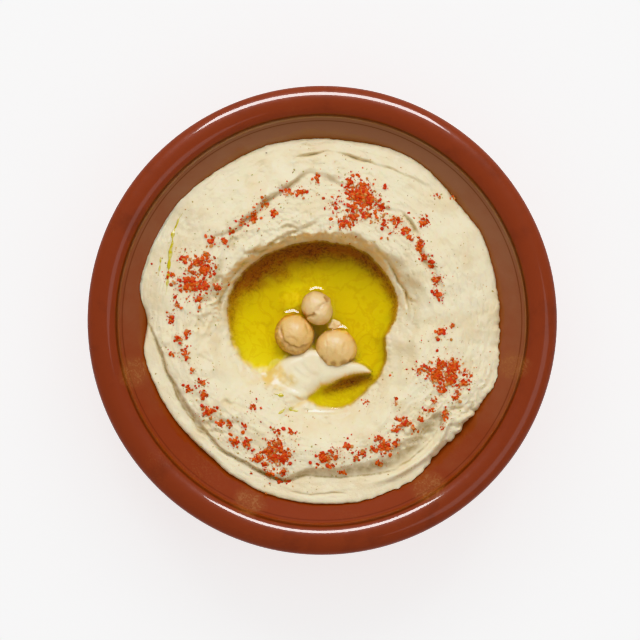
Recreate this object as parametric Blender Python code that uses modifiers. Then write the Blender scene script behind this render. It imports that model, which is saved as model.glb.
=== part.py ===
"""Hummus in a glazed terracotta bowl: a swirled ring round a well of olive oil with three chickpeas.

+Z is up and +Y is the far side. The origin is under the middle of the bowl's flat base.
Sizes are in millimetres here and become metres as each mesh is made.
"""

import math

import bmesh
import bpy
from mathutils import Vector

MM = 0.001
MERGE = 0.00001  # metres, for vertices that meet on a turning axis
GAP = 0.3  # clearance between pieces that touch
SEAT_GAP = 0.48  # clearance under the heap and over it, where both faces are faceted
SEGMENTS = 60  # round the bowl's axis, shared by all turned pieces

# Bowl
RIM_RADIUS = 75.0
RIM_TOP = 40.0
BEAD = (4.8, 3.2)  # half width and half height of the rim's rounded bead
BEAD_ARC = (202.0, -62.0)  # degrees, from the inner crease over the top to the outer neck
NECK = (70.0, 32.4)
FLOOR_TOP = 8.0
FLOOR_RADIUS = 36.0
WALL_FOOT = (56.5, 28.2)  # where the curved inside becomes the straight, flaring wall
BASE_RADIUS = 44.6
BASE_CHAMFER = 0.9

# Hummus and its well
OIL_LEVEL = 24.5
WELL_DEPTH = 6.6
WELL_SHAPE = 4  # how flat the well's bottom is, as a power of the part of the way to the shore
CREST_TOP = 33.3
CREST_PLACE = 0.35  # part of the way from the well to the outer edge
CREST_FALL = 6.0
INNER_SLOPE = 5.0  # width of the well's bank above the oil
SOFT_BANK = (240.0, 34.0, 9.0)  # degrees, spread and extra width where the tongue leaves the bank
EDGE_ROUND = 1.8
FLOOR_MOUND = (-4.5, 5.0, 5.0, 4.5)  # x, y, radius and height of the rise under the upper chickpea
BLEND = 1.2  # how softly the tongue grows out of the well
BLEND_REACH = 3.6  # the tongue leaves no mark where it lies further than this under the floor

# Radii of the oil's shore and of the hummus's outer edge, at even angles from +X
SHORE = (23.4, 24.8, 25.2, 25.1, 24.8, 25.4, 27.6, 30.6, 29.7, 28.4, 26.0, 25.2, 27.6, 27.8, 26.0, 22.2)
OUTER_EDGE = (56.8, 56.9, 57.3, 57.9, 57.2, 58.2, 59.1, 58.9, 58.2, 58.2, 58.4, 58.7, 58.3, 58.7, 59.3, 59.4,
              59.1, 59.2, 55.9, 57.7, 57.4, 56.8, 56.4, 56.3, 57.2, 57.9, 58.3, 58.7, 59.0, 58.8, 58.5, 56.6,
              56.2, 57.0, 58.8, 57.3)

# The lower lip: past this radius the heap drops to a narrow shelf, between two angles
LIP_RADIUS = 52.0
LIP_ANGLES = (176.0, 322.0)
LIP_FADE = 14.0
LIP_DROP = 2.1
LIP_FACE = 3.2  # width of the slope that leads down to it
LIP_WAVE = (0.9, 5.0, 40.0)  # size, waves round the circle and phase in degrees

# Grooves that the spoon left, each with its depth and width
GROOVES = (
    (1.5, 1.9, ((-43.5, 27.0), (-36.5, 26.2), (-28.9, 28.7), (-21.8, 33.5),
                (-12.8, 41.3), (-4.0, 46.5), (5.9, 43.6))),
    (1.2, 1.8, ((21.4, 34.9), (26.7, 32.1), (30.3, 26.7), (32.8, 19.8), (36.5, 15.0))),
    (0.6, 1.6, ((-10.3, 51.2), (3.1, 53.4), (14.6, 50.9), (24.9, 44.9), (33.2, 41.1))),
)

GROOVE_FADE = 0.15  # part of a groove's length over which it fades in and out
GROOVE_RIDGE = (2.2, 1.4, 0.6)  # place and width in the groove's widths, and height in its depths

# The tongue of hummus that lies in the oil: x, y, height above the oil and half width
TONGUE = (
    (-19.0, -24.5, 3.6, 8.0),
    (-12.0, -20.5, 2.4, 7.5),
    (-6.0, -17.6, 1.9, 6.4),
    (-1.5, -16.3, 1.7, 5.0),
    (3.0, -16.9, 1.5, 3.0),
    (8.0, -15.5, 1.4, 2.3),
    (12.0, -15.5, 1.2, 1.7),
    (15.2, -16.5, 0.5, 0.7),
)

# Chickpeas: centre, half sizes, turn about the vertical and the side that the cleft is on, in degrees
CHICKPEAS = {
    "chickpea_top": ((-1.5, 4.05, 25.4), (4.6, 5.3, 4.7), 27.0, -35.0),
    "chickpea_left": ((-8.8, -4.4, 24.2), (5.7, 6.1, 5.7), 20.0, 250.0),
    "chickpea_right": ((4.5, -8.9, 23.9), (6.4, 5.8, 5.6), -10.0, 100.0),
}
CLEFT_DEPTH = 0.09  # as parts of the chickpea's half size
CLEFT_WIDTH = 0.16
BEAK_RISE = 0.10
BEAK_WIDTH = 0.30
PEA_SEGMENTS = 18
PEA_RINGS = 11

# Rings of the hummus's grid: 0 is the axis, 1 the oil's shore and 2 the outer edge
TOP_RINGS = (0.12, 0.24, 0.36, 0.47, 0.57, 0.67, 0.77, 0.87, 0.95, 1.0,
             1.05, 1.11, 1.19, 1.30, 1.42, 1.54, 1.65, 1.74, 1.81, 1.87, 1.93, 1.97)
BOTTOM_RINGS = (1.95, 1.87, 1.74, 1.5, 0.8)
OIL_BLANK = 33.0  # radius of the disc that the oil is cut from
OIL_BOTTOM = 15.5


def bezier(start, lead_out, lead_in, end, count):
    """Points along a cubic curve, both ends included."""
    points = []
    for step in range(count + 1):
        t = step / count
        s = 1 - t
        points.append(tuple(
            s ** 3 * a + 3 * s * s * t * b + 3 * s * t * t * c + t ** 3 * d
            for a, b, c, d in zip(start, lead_out, lead_in, end)))
    return points


def bead_arc(first, last, count):
    """Points along the oval section of the rim's bead, by angles in degrees."""
    half_width, half_height = BEAD
    angles = [math.radians(first + (last - first) * step / count) for step in range(count + 1)]
    return [(RIM_RADIUS - half_width + half_width * math.cos(a),
             RIM_TOP - half_height + half_height * math.sin(a)) for a in angles]


def smooth(value):
    """0 below 0, 1 above 1 and an eased rise between."""
    value = min(max(value, 0.0), 1.0)
    return value * value * (3 - 2 * value)


def around(radii, angle):
    """Radius at an angle, on a smooth closed curve through evenly spaced radii."""
    count = len(radii)
    place = (angle / math.tau) % 1 * count
    index = int(place)
    t = place - index
    before, here, after, beyond = (radii[(index + k) % count] for k in (-1, 0, 1, 2))
    slope_here = (after - before) / 2
    slope_after = (beyond - here) / 2
    return (here * (2 * t ** 3 - 3 * t * t + 1) + slope_here * (t ** 3 - 2 * t * t + t)
            + after * (3 * t * t - 2 * t ** 3) + slope_after * (t ** 3 - t * t))


def bowl_inside():
    """Profile of the bowl's inner face, from its floor up to the crease under the bead."""
    crease = bead_arc(BEAD_ARC[0], BEAD_ARC[0], 1)[0]
    return bezier((FLOOR_RADIUS, FLOOR_TOP), (50.0, 8.5), (52.5, 24.6), WALL_FOOT, 6) + [crease]


def bowl_profile():
    """Closed half section of the bowl, from the middle of its floor to the middle of its base."""
    bead = bead_arc(*BEAD_ARC, 10)
    outside = bezier(NECK, (63.5, 24.0), (58.5, 6.0), (BASE_RADIUS + BASE_CHAMFER, BASE_CHAMFER), 6)
    return ([(0.0, FLOOR_TOP)] + bowl_inside()[:-1] + bead + outside
            + [(BASE_RADIUS, 0.0), (0.0, 0.0)])


def inside_height(radius):
    """Height of the bowl's inner face at a radius."""
    profile = bowl_inside()
    if radius <= profile[0][0]:
        return profile[0][1]
    for (r0, z0), (r1, z1) in zip(profile, profile[1:]):
        if radius <= r1:
            return z0 + (z1 - z0) * (radius - r0) / (r1 - r0)
    return profile[-1][1]


def along(line, x, y):
    """Distance to a line, the values it carries there, the part of the way along and the radius there."""
    best = None
    last = len(line) - 1
    for index, (start, end) in enumerate(zip(line, line[1:])):
        dx, dy = end[0] - start[0], end[1] - start[1]
        t = ((x - start[0]) * dx + (y - start[1]) * dy) / (dx * dx + dy * dy)
        t = min(max(t, 0.0), 1.0)
        px, py = start[0] + t * dx, start[1] + t * dy
        distance = math.hypot(x - px, y - py)
        if best is None or distance < best[0]:
            values = [a + (b - a) * t for a, b in zip(start[2:], end[2:])]
            best = (distance, values, (index + t) / last, math.hypot(px, py))
    return best


def groove_height(x, y):
    """The spoon's grooves: each is a furrow with a low ridge on its outer side."""
    total = 0.0
    place, spread, rise = GROOVE_RIDGE
    for depth, width, line in GROOVES:
        distance, _, part, radius = along(line, x, y)
        side = distance if math.hypot(x, y) > radius else -distance
        fade = smooth(part / GROOVE_FADE) * smooth((1 - part) / GROOVE_FADE)
        furrow = math.exp(-(side / width) ** 2)
        ridge = rise * math.exp(-((side / width - place) / spread) ** 2)
        total += depth * fade * (ridge - furrow)
    return total


def lip_drop(angle, radius):
    """How far the heap has dropped to its lower lip."""
    size, waves, phase = LIP_WAVE
    line = LIP_RADIUS + size * math.sin(waves * angle + math.radians(phase))
    degrees = math.degrees(angle) % 360
    fade = smooth((degrees - LIP_ANGLES[0]) / LIP_FADE) * smooth((LIP_ANGLES[1] - degrees) / LIP_FADE)
    return LIP_DROP * fade * smooth((radius - line) / LIP_FACE + 0.5)


def well_floor(x, y, part):
    """Bottom of the oil's well; part is 0 in its middle and 1 at the shore."""
    mx, my, spread, rise = FLOOR_MOUND
    mound = rise * math.exp(-((x - mx) ** 2 + (y - my) ** 2) / spread ** 2)
    floor = mound * (1 - part) - WELL_DEPTH * (1 - part ** WELL_SHAPE)
    distance, (rise, half_width), _, _ = along(TONGUE, x, y)
    tongue = rise * (1 - (distance / half_width) ** 2)
    if tongue < floor - BLEND_REACH:
        return OIL_LEVEL + floor
    return OIL_LEVEL + BLEND * math.log(math.exp(floor / BLEND) + math.exp(tongue / BLEND))


def surface_height(angle, ring):
    """Place and height of the hummus's top at a ring of its grid."""
    shore = around(SHORE, angle)
    edge = around(OUTER_EDGE, angle)
    radius = ring * shore if ring < 1 else shore + (ring - 1) * (edge - shore)
    x, y = radius * math.cos(angle), radius * math.sin(angle)
    if ring <= 1:
        return x, y, well_floor(x, y, ring)
    part = ring - 1
    turn = (math.degrees(angle) - SOFT_BANK[0] + 180) % 360 - 180
    bank = INNER_SLOPE + SOFT_BANK[2] * math.exp(-(turn / SOFT_BANK[1]) ** 2)
    top = CREST_TOP - CREST_FALL * (part - CREST_PLACE) ** 2
    top += groove_height(x, y) - lip_drop(angle, radius)
    shore_height = well_floor(x, y, 1.0)
    rise = math.sin(math.pi / 2 * min((radius - shore) / bank, 1.0))
    height = shore_height + (top - shore_height) * rise
    contact = inside_height(edge) + SEAT_GAP
    inset = 1 - min((edge - radius) / EDGE_ROUND, 1.0)
    return x, y, contact + (height - contact) * math.sqrt(max(1 - inset * inset, 0.0))


def applied(obj):
    """Replaces an object's mesh with the one that its modifiers make."""
    bpy.context.view_layer.update()
    graph = bpy.context.evaluated_depsgraph_get()
    obj.data = bpy.data.meshes.new_from_object(obj.evaluated_get(graph))
    obj.modifiers.clear()
    return obj


def turned(name, profile, collection):
    """A half section in millimetres, turned round +Z."""
    mesh = bpy.data.meshes.new(name)
    bm = bmesh.new()
    verts = [bm.verts.new((r * MM, 0.0, z * MM)) for r, z in profile]
    for pair in zip(verts, verts[1:]):
        bm.edges.new(pair)
    bm.to_mesh(mesh)
    bm.free()
    obj = link(name, mesh, collection)
    screw = obj.modifiers.new("Turn", "SCREW")
    screw.axis = "Z"
    screw.angle = math.tau
    screw.steps = SEGMENTS
    screw.render_steps = SEGMENTS
    screw.use_merge_vertices = True
    screw.merge_threshold = MERGE
    return applied(obj)


def link(name, mesh, collection):
    """A new object in a collection."""
    obj = bpy.data.objects.new(name, mesh)
    collection.objects.link(obj)
    return obj


def finish(obj, colour, roughness, crease=40.0):
    """Smooth shading and the piece's own material."""
    material = bpy.data.materials.new(obj.name)
    material.use_nodes = True
    shader = material.node_tree.nodes["Principled BSDF"]
    shader.inputs["Base Color"].default_value = (*colour, 1.0)
    shader.inputs["Roughness"].default_value = roughness
    shader.inputs["Metallic"].default_value = 0.0
    obj.data.materials.clear()
    obj.data.materials.append(material)
    obj.data.shade_smooth()
    obj.data.set_sharp_from_angle(angle=math.radians(crease))


def cut(obj, cutters):
    """Cuts an object with each cutter in turn."""
    for cutter in cutters:
        boolean = obj.modifiers.new("Cut", "BOOLEAN")
        boolean.operation = "DIFFERENCE"
        boolean.solver = "EXACT"
        boolean.object = cutter
    return applied(obj)


def as_cutter(obj):
    """Marks an object as a cutter."""
    obj.hide_render = True
    obj.display_type = "WIRE"
    return obj


def make_bowl(parts):
    """The round bowl with its bead rim and flat base."""
    bowl = turned("bowl", bowl_profile(), parts)
    finish(bowl, (0.26, 0.05, 0.02), 0.2)


def hummus_blank(name, lift, collection):
    """The heap without its chickpea hollows; lift raises its top."""
    rings = [(0.0, 1.0)] + [(ring, 1.0) for ring in TOP_RINGS] + [(2.0, 0.0)]
    rings += [(ring, -1.0) for ring in BOTTOM_RINGS] + [(0.0, -1.0)]
    blank = turned(name, rings, collection)
    for vertex in blank.data.vertices:
        ring = math.hypot(vertex.co.x, vertex.co.y) / MM
        angle = math.atan2(vertex.co.y, vertex.co.x)
        x, y, z = surface_height(angle, min(ring, 2.0))
        if vertex.co.z < 0:
            z = inside_height(math.hypot(x, y)) + SEAT_GAP
        elif ring > 1.999:
            z = inside_height(math.hypot(x, y)) + SEAT_GAP + lift
        else:
            z += lift
        vertex.co = Vector((x, y, z)) * MM
    bm = bmesh.new()
    bm.from_mesh(blank.data)
    bmesh.ops.triangulate(bm, faces=bm.faces, quad_method="FIXED")
    bm.to_mesh(blank.data)
    bm.free()
    return blank


def pea_mesh(name, half_sizes, cleft_side, grow):
    """A chickpea about its own centre: an uneven ball with a cleft and a small beak."""
    mesh = bpy.data.meshes.new(name)
    bm = bmesh.new()
    bmesh.ops.create_uvsphere(bm, u_segments=PEA_SEGMENTS, v_segments=PEA_RINGS, radius=1.0)
    side = math.radians(cleft_side)
    beak = Vector((math.cos(side), math.sin(side), 0.35)).normalized()
    across = Vector((-math.sin(side), math.cos(side), 0.0))
    for vertex in bm.verts:
        place = vertex.co.normalized()
        facing = smooth(place.dot(beak) * 1.4)
        scale = 1 - CLEFT_DEPTH * facing * math.exp(-(place.dot(across) / CLEFT_WIDTH) ** 2)
        scale += BEAK_RISE * math.exp(-((place - beak).length / BEAK_WIDTH) ** 2)
        vertex.co = Vector([scale * (size + grow) * axis for size, axis in zip(half_sizes, place)]) * MM
    bm.to_mesh(mesh)
    bm.free()
    return mesh


def make_chickpeas(parts, cutters):
    """The three chickpeas, and a cutter a little larger than each."""
    grown = []
    for name, (centre, half_sizes, turn, cleft_side) in CHICKPEAS.items():
        for label, grow, collection in ((name, 0.0, parts), (name + "_cutter", GAP, cutters)):
            obj = link(label, pea_mesh(label, half_sizes, cleft_side, grow), collection)
            obj.location = Vector(centre) * MM
            obj.rotation_euler = (0.0, 0.0, math.radians(turn))
            if grow:
                grown.append(as_cutter(obj))
            else:
                finish(obj, (0.60, 0.33, 0.12), 0.35)
    return grown


def make_hummus(parts, pea_cutters):
    """The swirled heap, hollowed where the chickpeas sit."""
    hummus = hummus_blank("hummus", 0.0, parts)
    cut(hummus, pea_cutters)
    finish(hummus, (0.78, 0.68, 0.47), 0.55)


def make_oil(parts, cutters, pea_cutters):
    """The pool of oil: a disc cut by the heap's surface and by the chickpeas."""
    blank = [(0.0, OIL_LEVEL), (OIL_BLANK, OIL_LEVEL), (OIL_BLANK, OIL_BOTTOM), (0.0, OIL_BOTTOM)]
    oil = turned("olive_oil", blank, parts)
    heap = as_cutter(hummus_blank("heap_cutter", SEAT_GAP, cutters))
    cut(oil, [heap] + pea_cutters)
    finish(oil, (0.62, 0.48, 0.01), 0.08)


def main():
    for obj in list(bpy.data.objects):
        bpy.data.objects.remove(obj, do_unlink=True)
    parts = bpy.data.collections.new("hummus_bowl")
    cutters = bpy.data.collections.new("cutters")
    for collection in (parts, cutters):
        bpy.context.scene.collection.children.link(collection)
    make_bowl(parts)
    pea_cutters = make_chickpeas(parts, cutters)
    make_hummus(parts, pea_cutters)
    make_oil(parts, cutters, pea_cutters)


main()
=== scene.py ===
"""Hummus in a glazed terracotta bowl, with a well of olive oil, three chickpeas and paprika.

Laid out as an add-on whose sidebar panel lists the pieces; run as a script it makes them all
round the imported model. Tables and sculpting work in millimetres, and meshes are in metres.
"""

import math
import random

import bmesh
import bpy
import numpy as np
from mathutils import Matrix, Vector, noise


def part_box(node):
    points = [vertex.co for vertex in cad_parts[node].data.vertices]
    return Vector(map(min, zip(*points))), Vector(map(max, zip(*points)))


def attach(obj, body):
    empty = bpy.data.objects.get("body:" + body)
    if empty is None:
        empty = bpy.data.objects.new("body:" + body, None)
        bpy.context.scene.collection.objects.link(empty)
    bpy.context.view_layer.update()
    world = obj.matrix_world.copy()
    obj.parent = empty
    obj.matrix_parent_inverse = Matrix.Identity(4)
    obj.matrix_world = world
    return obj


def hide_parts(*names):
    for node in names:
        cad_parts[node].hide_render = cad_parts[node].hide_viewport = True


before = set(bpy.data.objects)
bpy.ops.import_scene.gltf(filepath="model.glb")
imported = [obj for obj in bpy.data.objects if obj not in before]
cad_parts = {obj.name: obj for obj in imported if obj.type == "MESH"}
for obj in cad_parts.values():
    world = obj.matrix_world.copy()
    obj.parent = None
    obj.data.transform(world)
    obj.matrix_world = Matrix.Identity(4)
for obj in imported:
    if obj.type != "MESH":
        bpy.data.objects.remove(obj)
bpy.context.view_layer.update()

bl_info = {
    "name": "Hummus Bowl",
    "version": (1, 0, 0),
    "blender": (4, 5, 0),
    "location": "3D View > Sidebar > Hummus Bowl",
    "description": "Makes a bowl of hummus with olive oil, chickpeas and paprika",
    "category": "Add Mesh",
}

MM = 0.001
BODY = "root"

# Bowl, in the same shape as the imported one
BEAD_ARC = (202.0, -62.0)
FLOOR_RADIUS = 36.0
FLOOR_TOP = 8.0
WALL_FOOT = (56.5, 28.2)
NECK = (70.0, 32.4)
BASE_RADIUS = 44.6
BASE_CHAMFER = 0.9
# The table's top is a hair below the base, in metres, so that the two faces don't coincide
TABLE_TOP = -0.0001

# Heap of hummus: radii of the oil's shore and of the outer edge, at even angles from +X
SHORE = (23.2, 25.1, 25.3, 25.5, 25.8, 25.4, 25.5, 25.7, 26.7, 28.2, 29.8, 31.0,
         30.2, 29.6, 28.0, 25.6, 24.8, 25.6, 27.8, 28.6, 27.0, 25.9, 23.8, 21.2)
OUTER_EDGE = (56.9, 57.0, 57.4, 58.0, 57.3, 58.3, 59.2, 59.0, 58.3, 58.3, 58.5, 58.8,
              58.4, 58.8, 59.4, 59.5, 59.2, 59.3, 56.0, 57.8, 57.5, 56.9, 56.5, 56.4,
              57.3, 58.0, 58.4, 58.8, 59.1, 58.9, 58.6, 56.7, 56.3, 57.1, 58.9, 57.4)
# Width of the well's bank and height of its shoulder, at every 30 degrees from +X
BANK_WIDTH = (13.0, 8.5, 4.8, 3.6, 3.4, 4.6, 12.0, 15.0, 17.0, 15.0, 12.0, 13.0)
# How steeply the bank goes on under the oil, and how far and how strongly the paste under the oil is darkened as
# painted shade, the bank's shadow
BANK_STEEPNESS = (9.0, 9.0, 9.0, 9.0, 8.0, 7.0, 5.0, 2.5, 3.0, 5.0, 7.0, 9.0)
SHADE_REACH = (1.2, 3.0, 4.8, 6.0, 7.6, 7.8, 2.6, 1.4, 1.0, 1.0, 1.3, 0.9)
SHADE_STRENGTH = (0.7, 0.85, 0.95, 1.0, 1.0, 0.95, 0.55, 0.1, 0.0, 0.1, 0.4, 0.6)
CREST = (32.4, 33.2, 33.7, 33.5, 33.3, 32.8, 32.3, 32.8, 32.6, 33.3, 33.8, 32.9)
CREST_PLACE = 0.35
STROKE_DEPTH = 1.6
CREST_FALL = 6.0
LIP_FALL = 0.35
LIP_TILT = 0.13
SHORE_RISE = 0.9
SHORE_ROUND = 0.6
EDGE_ROUND = 1.6
WELL_DEPTH = 6.6
FLOOR_MOUND = (-8.2, 5.4, 4.0, 4.6)
TONGUE_BLEND = 0.45

# The tongue of hummus in the oil: x, y, height above the oil, half width
TONGUE = (
    (-20.5, -27.5, 4.6, 8.6),
    (-14.0, -23.2, 3.0, 7.2),
    (-8.8, -18.8, 2.2, 7.2),
    (-5.2, -16.4, 1.7, 6.4),
    (-2.7, -14.6, 1.5, 5.3),
    (0.2, -16.6, 1.5, 4.2),
    (4.4, -16.3, 1.4, 2.8),
    (8.5, -15.4, 1.4, 2.3),
    (12.0, -15.5, 1.2, 1.6),
    (15.0, -16.4, 0.6, 0.6),
)
# Shelves of paste just under the oil, by the tongue's root: x, y, depth, reach
SHELVES = ((-18.5, -17.4, 0.35, 2.6), (-14.5, -15.0, 0.4, 2.6), (-10.8, -12.6, 0.5, 1.8))

# Foot of the heap's outer face, above the low lip: x, y, drop to the lip, width of the face
LIP_FOOT = (
    (-57.0, 3.0, 0.0, 0.7),
    (-55.0, -2.5, 1.8, 0.7),
    (-52.0, -9.5, 2.4, 0.8),
    (-50.6, -14.5, 2.6, 0.8),
    (-48.3, -19.2, 2.6, 0.9),
    (-46.0, -25.5, 2.8, 2.2),
    (-41.2, -32.2, 2.8, 2.2),
    (-36.2, -37.2, 2.5, 0.9),
    (-31.0, -42.3, 2.4, 0.8),
    (-23.6, -46.2, 2.4, 0.8),
    (-17.5, -49.4, 2.4, 1.0),
    (-11.4, -51.4, 2.5, 1.4),
    (-5.0, -49.6, 2.7, 2.4),
    (3.0, -50.3, 2.9, 3.6),
    (13.0, -49.6, 3.1, 5.0),
    (20.4, -48.7, 3.4, 6.0),
    (25.6, -46.2, 3.6, 6.8),
    (31.0, -42.3, 3.6, 7.2),
    (34.6, -38.6, 3.4, 7.0),
    (37.2, -35.2, 3.0, 6.0),
    (38.8, -30.6, 1.4, 4.0),
    (39.6, -27.0, 0.0, 3.0),
)

# Strokes of the spoon: depth, width, rise of the outer side, its reach, then the stroke's points
STROKES = (
    (0.5, 1.0, 1.5, 6.0, ((-38.5, 24.6), (-33.0, 27.0), (-28.9, 28.7), (-25.0, 31.0), (-21.8, 33.5),
                          (-16.9, 38.8), (-12.8, 41.3), (-9.3, 43.8), (-5.8, 46.2), (-2.5, 46.9),
                          (2.0, 45.1), (5.7, 43.2), (10.0, 40.5))),
    (0.9, 0.5, 0.5, 4.0, ((18.5, 36.5), (21.0, 35.6), (24.9, 34.8), (27.2, 32.4), (29.4, 29.8), (30.4, 26.5))),
    (0.5, 1.0, 0.3, 5.0, ((28.8, 30.0), (31.0, 24.5), (33.0, 19.5), (36.5, 14.5), (38.5, 8.0))),
    (0.5, 0.5, 0.5, 3.0, ((-10.3, 51.0), (-3.8, 53.1), (3.2, 53.8), (8.9, 52.6), (14.7, 50.9), (20.1, 48.7))),
    (0.3, 0.6, 0.3, 3.0, ((17.0, 50.2), (25.5, 46.8), (31.0, 44.5), (35.0, 41.0))),
    (0.3, 0.4, 0.2, 1.5, ((-8.0, 56.0), (-3.8, 56.7), (3.8, 56.9), (9.5, 56.3))),
    (0.5, 0.6, 0.3, 2.0, ((-14.5, 28.4), (-11.5, 30.2), (-9.0, 29.4), (-6.4, 29.2), (-3.8, 30.2), (-0.6, 32.0))),
    (0.6, 0.6, 0.5, 2.0, ((-26.5, 20.8), (-22.0, 22.0), (-18.4, 22.6), (-14.6, 25.6), (-10.0, 27.8), (-4.0, 28.6))),
    (0.9, 0.6, 0.0, 1.0, ((-23.4, 19.6), (-25.6, 17.6), (-27.9, 14.7), (-31.4, 8.5), (-32.7, 2.6))),
    (0.25, 2.2, 0.0, 1.0, ((-43.9, 38.5), (-44.1, 33.0), (-43.1, 26.0))),
    (0.5, 1.3, 0.3, 3.0, ((-27.0, 27.0), (-28.7, 24.4), (-33.0, 16.6), (-34.4, 11.0))),
    (0.8, 0.45, 0.0, 1.0, ((16.5, 24.2), (17.8, 22.5), (21.3, 18.6), (24.0, 13.9), (27.1, 7.8), (28.0, 2.0))),
    (0.5, 0.4, 0.0, 1.0, ((26.2, 9.4), (28.3, 6.6), (30.8, 5.3))),
    (0.7, 0.35, 0.0, 1.0, ((-56.0, 0.5), (-53.5, -5.8), (-51.2, -12.2), (-50.4, -15.6), (-48.4, -19.1), (-46.2, -21.4))),
    (0.6, 0.4, 0.0, 1.0, ((-48.2, -23.0), (-45.3, -26.9), (-41.8, -30.6), (-40.3, -34.6), (-37.2, -36.6),
                          (-34.9, -38.9), (-31.0, -42.3), (-23.6, -46.2), (-17.9, -49.3), (-11.6, -51.6),
                          (-7.8, -50.1), (-3.5, -49.4))),
    (0.5, 0.7, 0.0, 1.0, ((-41.5, -32.0), (-37.0, -33.2), (-33.3, -32.3), (-28.0, -32.6), (-24.0, -32.0))),
    (0.4, 0.6, 0.0, 1.0, ((-37.5, -35.0), (-33.0, -36.0), (-28.5, -35.6))),
    (0.3, 0.7, 0.0, 1.0, ((-32.0, -25.4), (-28.0, -27.0), (-24.0, -28.8))),
    (0.4, 0.35, 0.0, 1.0, ((-10.5, -54.8), (-6.0, -55.6), (0.0, -55.5), (8.5, -55.4))),
    (1.0, 0.5, -0.5, 2.0, ((40.0, -28.3), (43.0, -28.6), (46.0, -28.8), (49.8, -28.8), (53.0, -27.4))),
    (0.5, 0.6, 0.0, 1.0, ((24.5, -37.0), (28.5, -36.4), (32.0, -34.0), (35.0, -30.6))),
    (0.4, 0.5, 0.0, 1.0, ((27.0, -40.2), (31.0, -37.8), (35.2, -33.8))),
    (0.5, 0.5, 0.0, 1.0, ((40.0, -33.6), (43.5, -33.8), (46.5, -32.2))),
    (0.3, 0.6, 0.0, 1.0, ((-40.5, -10.8), (-37.5, -12.6), (-34.5, -14.2))),
    (0.35, 0.5, 0.0, 1.0, ((-43.0, -17.0), (-39.5, -17.8), (-35.5, -18.2))),
)
# Soft ridges that the spoon raised: height, width, then points
RIDGES = (
    (1.6, 1.2, ((40.4, -28.0), (39.9, -32.4), (38.7, -36.5), (36.0, -40.4), (32.0, -44.2), (26.0, -48.0),
                (20.0, -50.8), (12.0, -52.4))),
    (0.7, 1.0, ((-26.0, 22.6), (-22.0, 23.6), (-18.0, 24.6))),
    (0.5, 0.9, ((-25.0, 15.6), (-28.6, 11.4), (-30.4, 6.0))),
    (0.6, 2.4, ((-36.0, 8.0), (-37.0, -2.0), (-35.0, -12.0), (-29.0, -21.0))),
    (0.5, 2.0, ((29.0, -6.0), (30.0, -14.0), (25.0, -24.0), (16.0, -32.0))),
    (0.4, 0.7, ((-7.5, -29.6), (-1.0, -30.2), (6.5, -30.0), (10.5, -27.8))),
)
# Folds in the tongue, and below them the raised one at its root: depth, width, points
FOLDS = (
    (0.5, 0.6, ((-10.4, -13.6), (-8.4, -16.2), (-5.6, -18.2), (-2.2, -19.2))),
    (0.45, 0.6, ((-6.8, -12.6), (-6.0, -15.0), (-3.6, -17.2), (0.4, -18.0))),
    (0.4, 0.6, ((-13.4, -16.2), (-11.4, -19.0), (-8.0, -21.4))),
    (-0.5, 1.0, ((-17.6, -19.6), (-13.2, -21.0), (-9.0, -23.0), (-3.8, -25.6))),
)
# Where thin oil tints the paste: width, strength, points
FILM = (
    (3.0, 1.0, ((-20.0, -18.8), (-15.5, -17.6), (-11.5, -15.2))),
    (2.2, 0.7, ((-17.0, -21.0), (-11.5, -19.8), (-8.0, -17.4))),
    (1.3, 0.95, ((-5.0, -24.6), (-1.6, -25.4), (2.0, -27.6))),
    (0.6, 0.6, ((-3.0, -24.9), (-6.5, -26.4), (-11.4, -29.2))),
)
# Where oil makes the paste glossy: width, height at both ends, points
GLOSS = (
    (1.3, 27.8, 27.0, ((-17.4, -18.8), (-14.6, -20.0), (-11.6, -21.4), (-8.2, -23.0), (-4.2, -24.8))),
    (0.8, 26.4, 26.0, ((-7.4, -28.9), (-3.0, -29.1), (1.0, -29.2), (6.2, -28.9))),
)
# Rise of the glossy paste for each millimetre outwards
GLOSS_SLOPE = 0.45

# Painted shadow below the tongue, dark in the oil there: x, y, reach, strength
TONGUE_SHADE = ((1.5, -22.8, 1.6, 0.5), (5.5, -20.8, 2.2, 0.75), (9.5, -19.4, 2.4, 0.85), (13.5, -18.9, 2.0, 0.65),
                (17.0, -19.6, 1.4, 0.4))
# A pale haze in the oil beside the chickpeas: x, y, half sizes
HAZE = (-8.8, 5.6, 4.6, 3.4)

# Where the paste is torn and lumpy: x, y, reach and height of the lumps
ROUGH = (
    (-20.0, 23.0, 6.0, 0.6), (-28.0, 14.0, 4.5, 0.5), (-9.0, 28.5, 6.0, 0.6), (3.0, 29.5, 5.0, 0.4),
    (24.0, 15.0, 4.0, 0.25), (27.5, 5.0, 4.0, 0.25), (-44.0, -29.0, 7.0, 0.5), (-37.0, -36.0, 5.0, 0.4),
    (-12.0, -50.0, 5.0, 0.3), (30.0, -38.0, 8.0, 0.6), (38.0, -30.0, 6.0, 0.8), (45.0, -31.0, 6.0, 0.9),
    (50.0, -20.0, 6.0, 0.3), (22.0, -47.0, 6.0, 0.35), (-51.0, -8.0, 5.0, 0.35), (8.0, 51.0, 7.0, 0.25),
    (-30.0, -30.0, 7.0, 0.25), (-16.0, -22.0, 4.0, 0.2),
)

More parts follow.
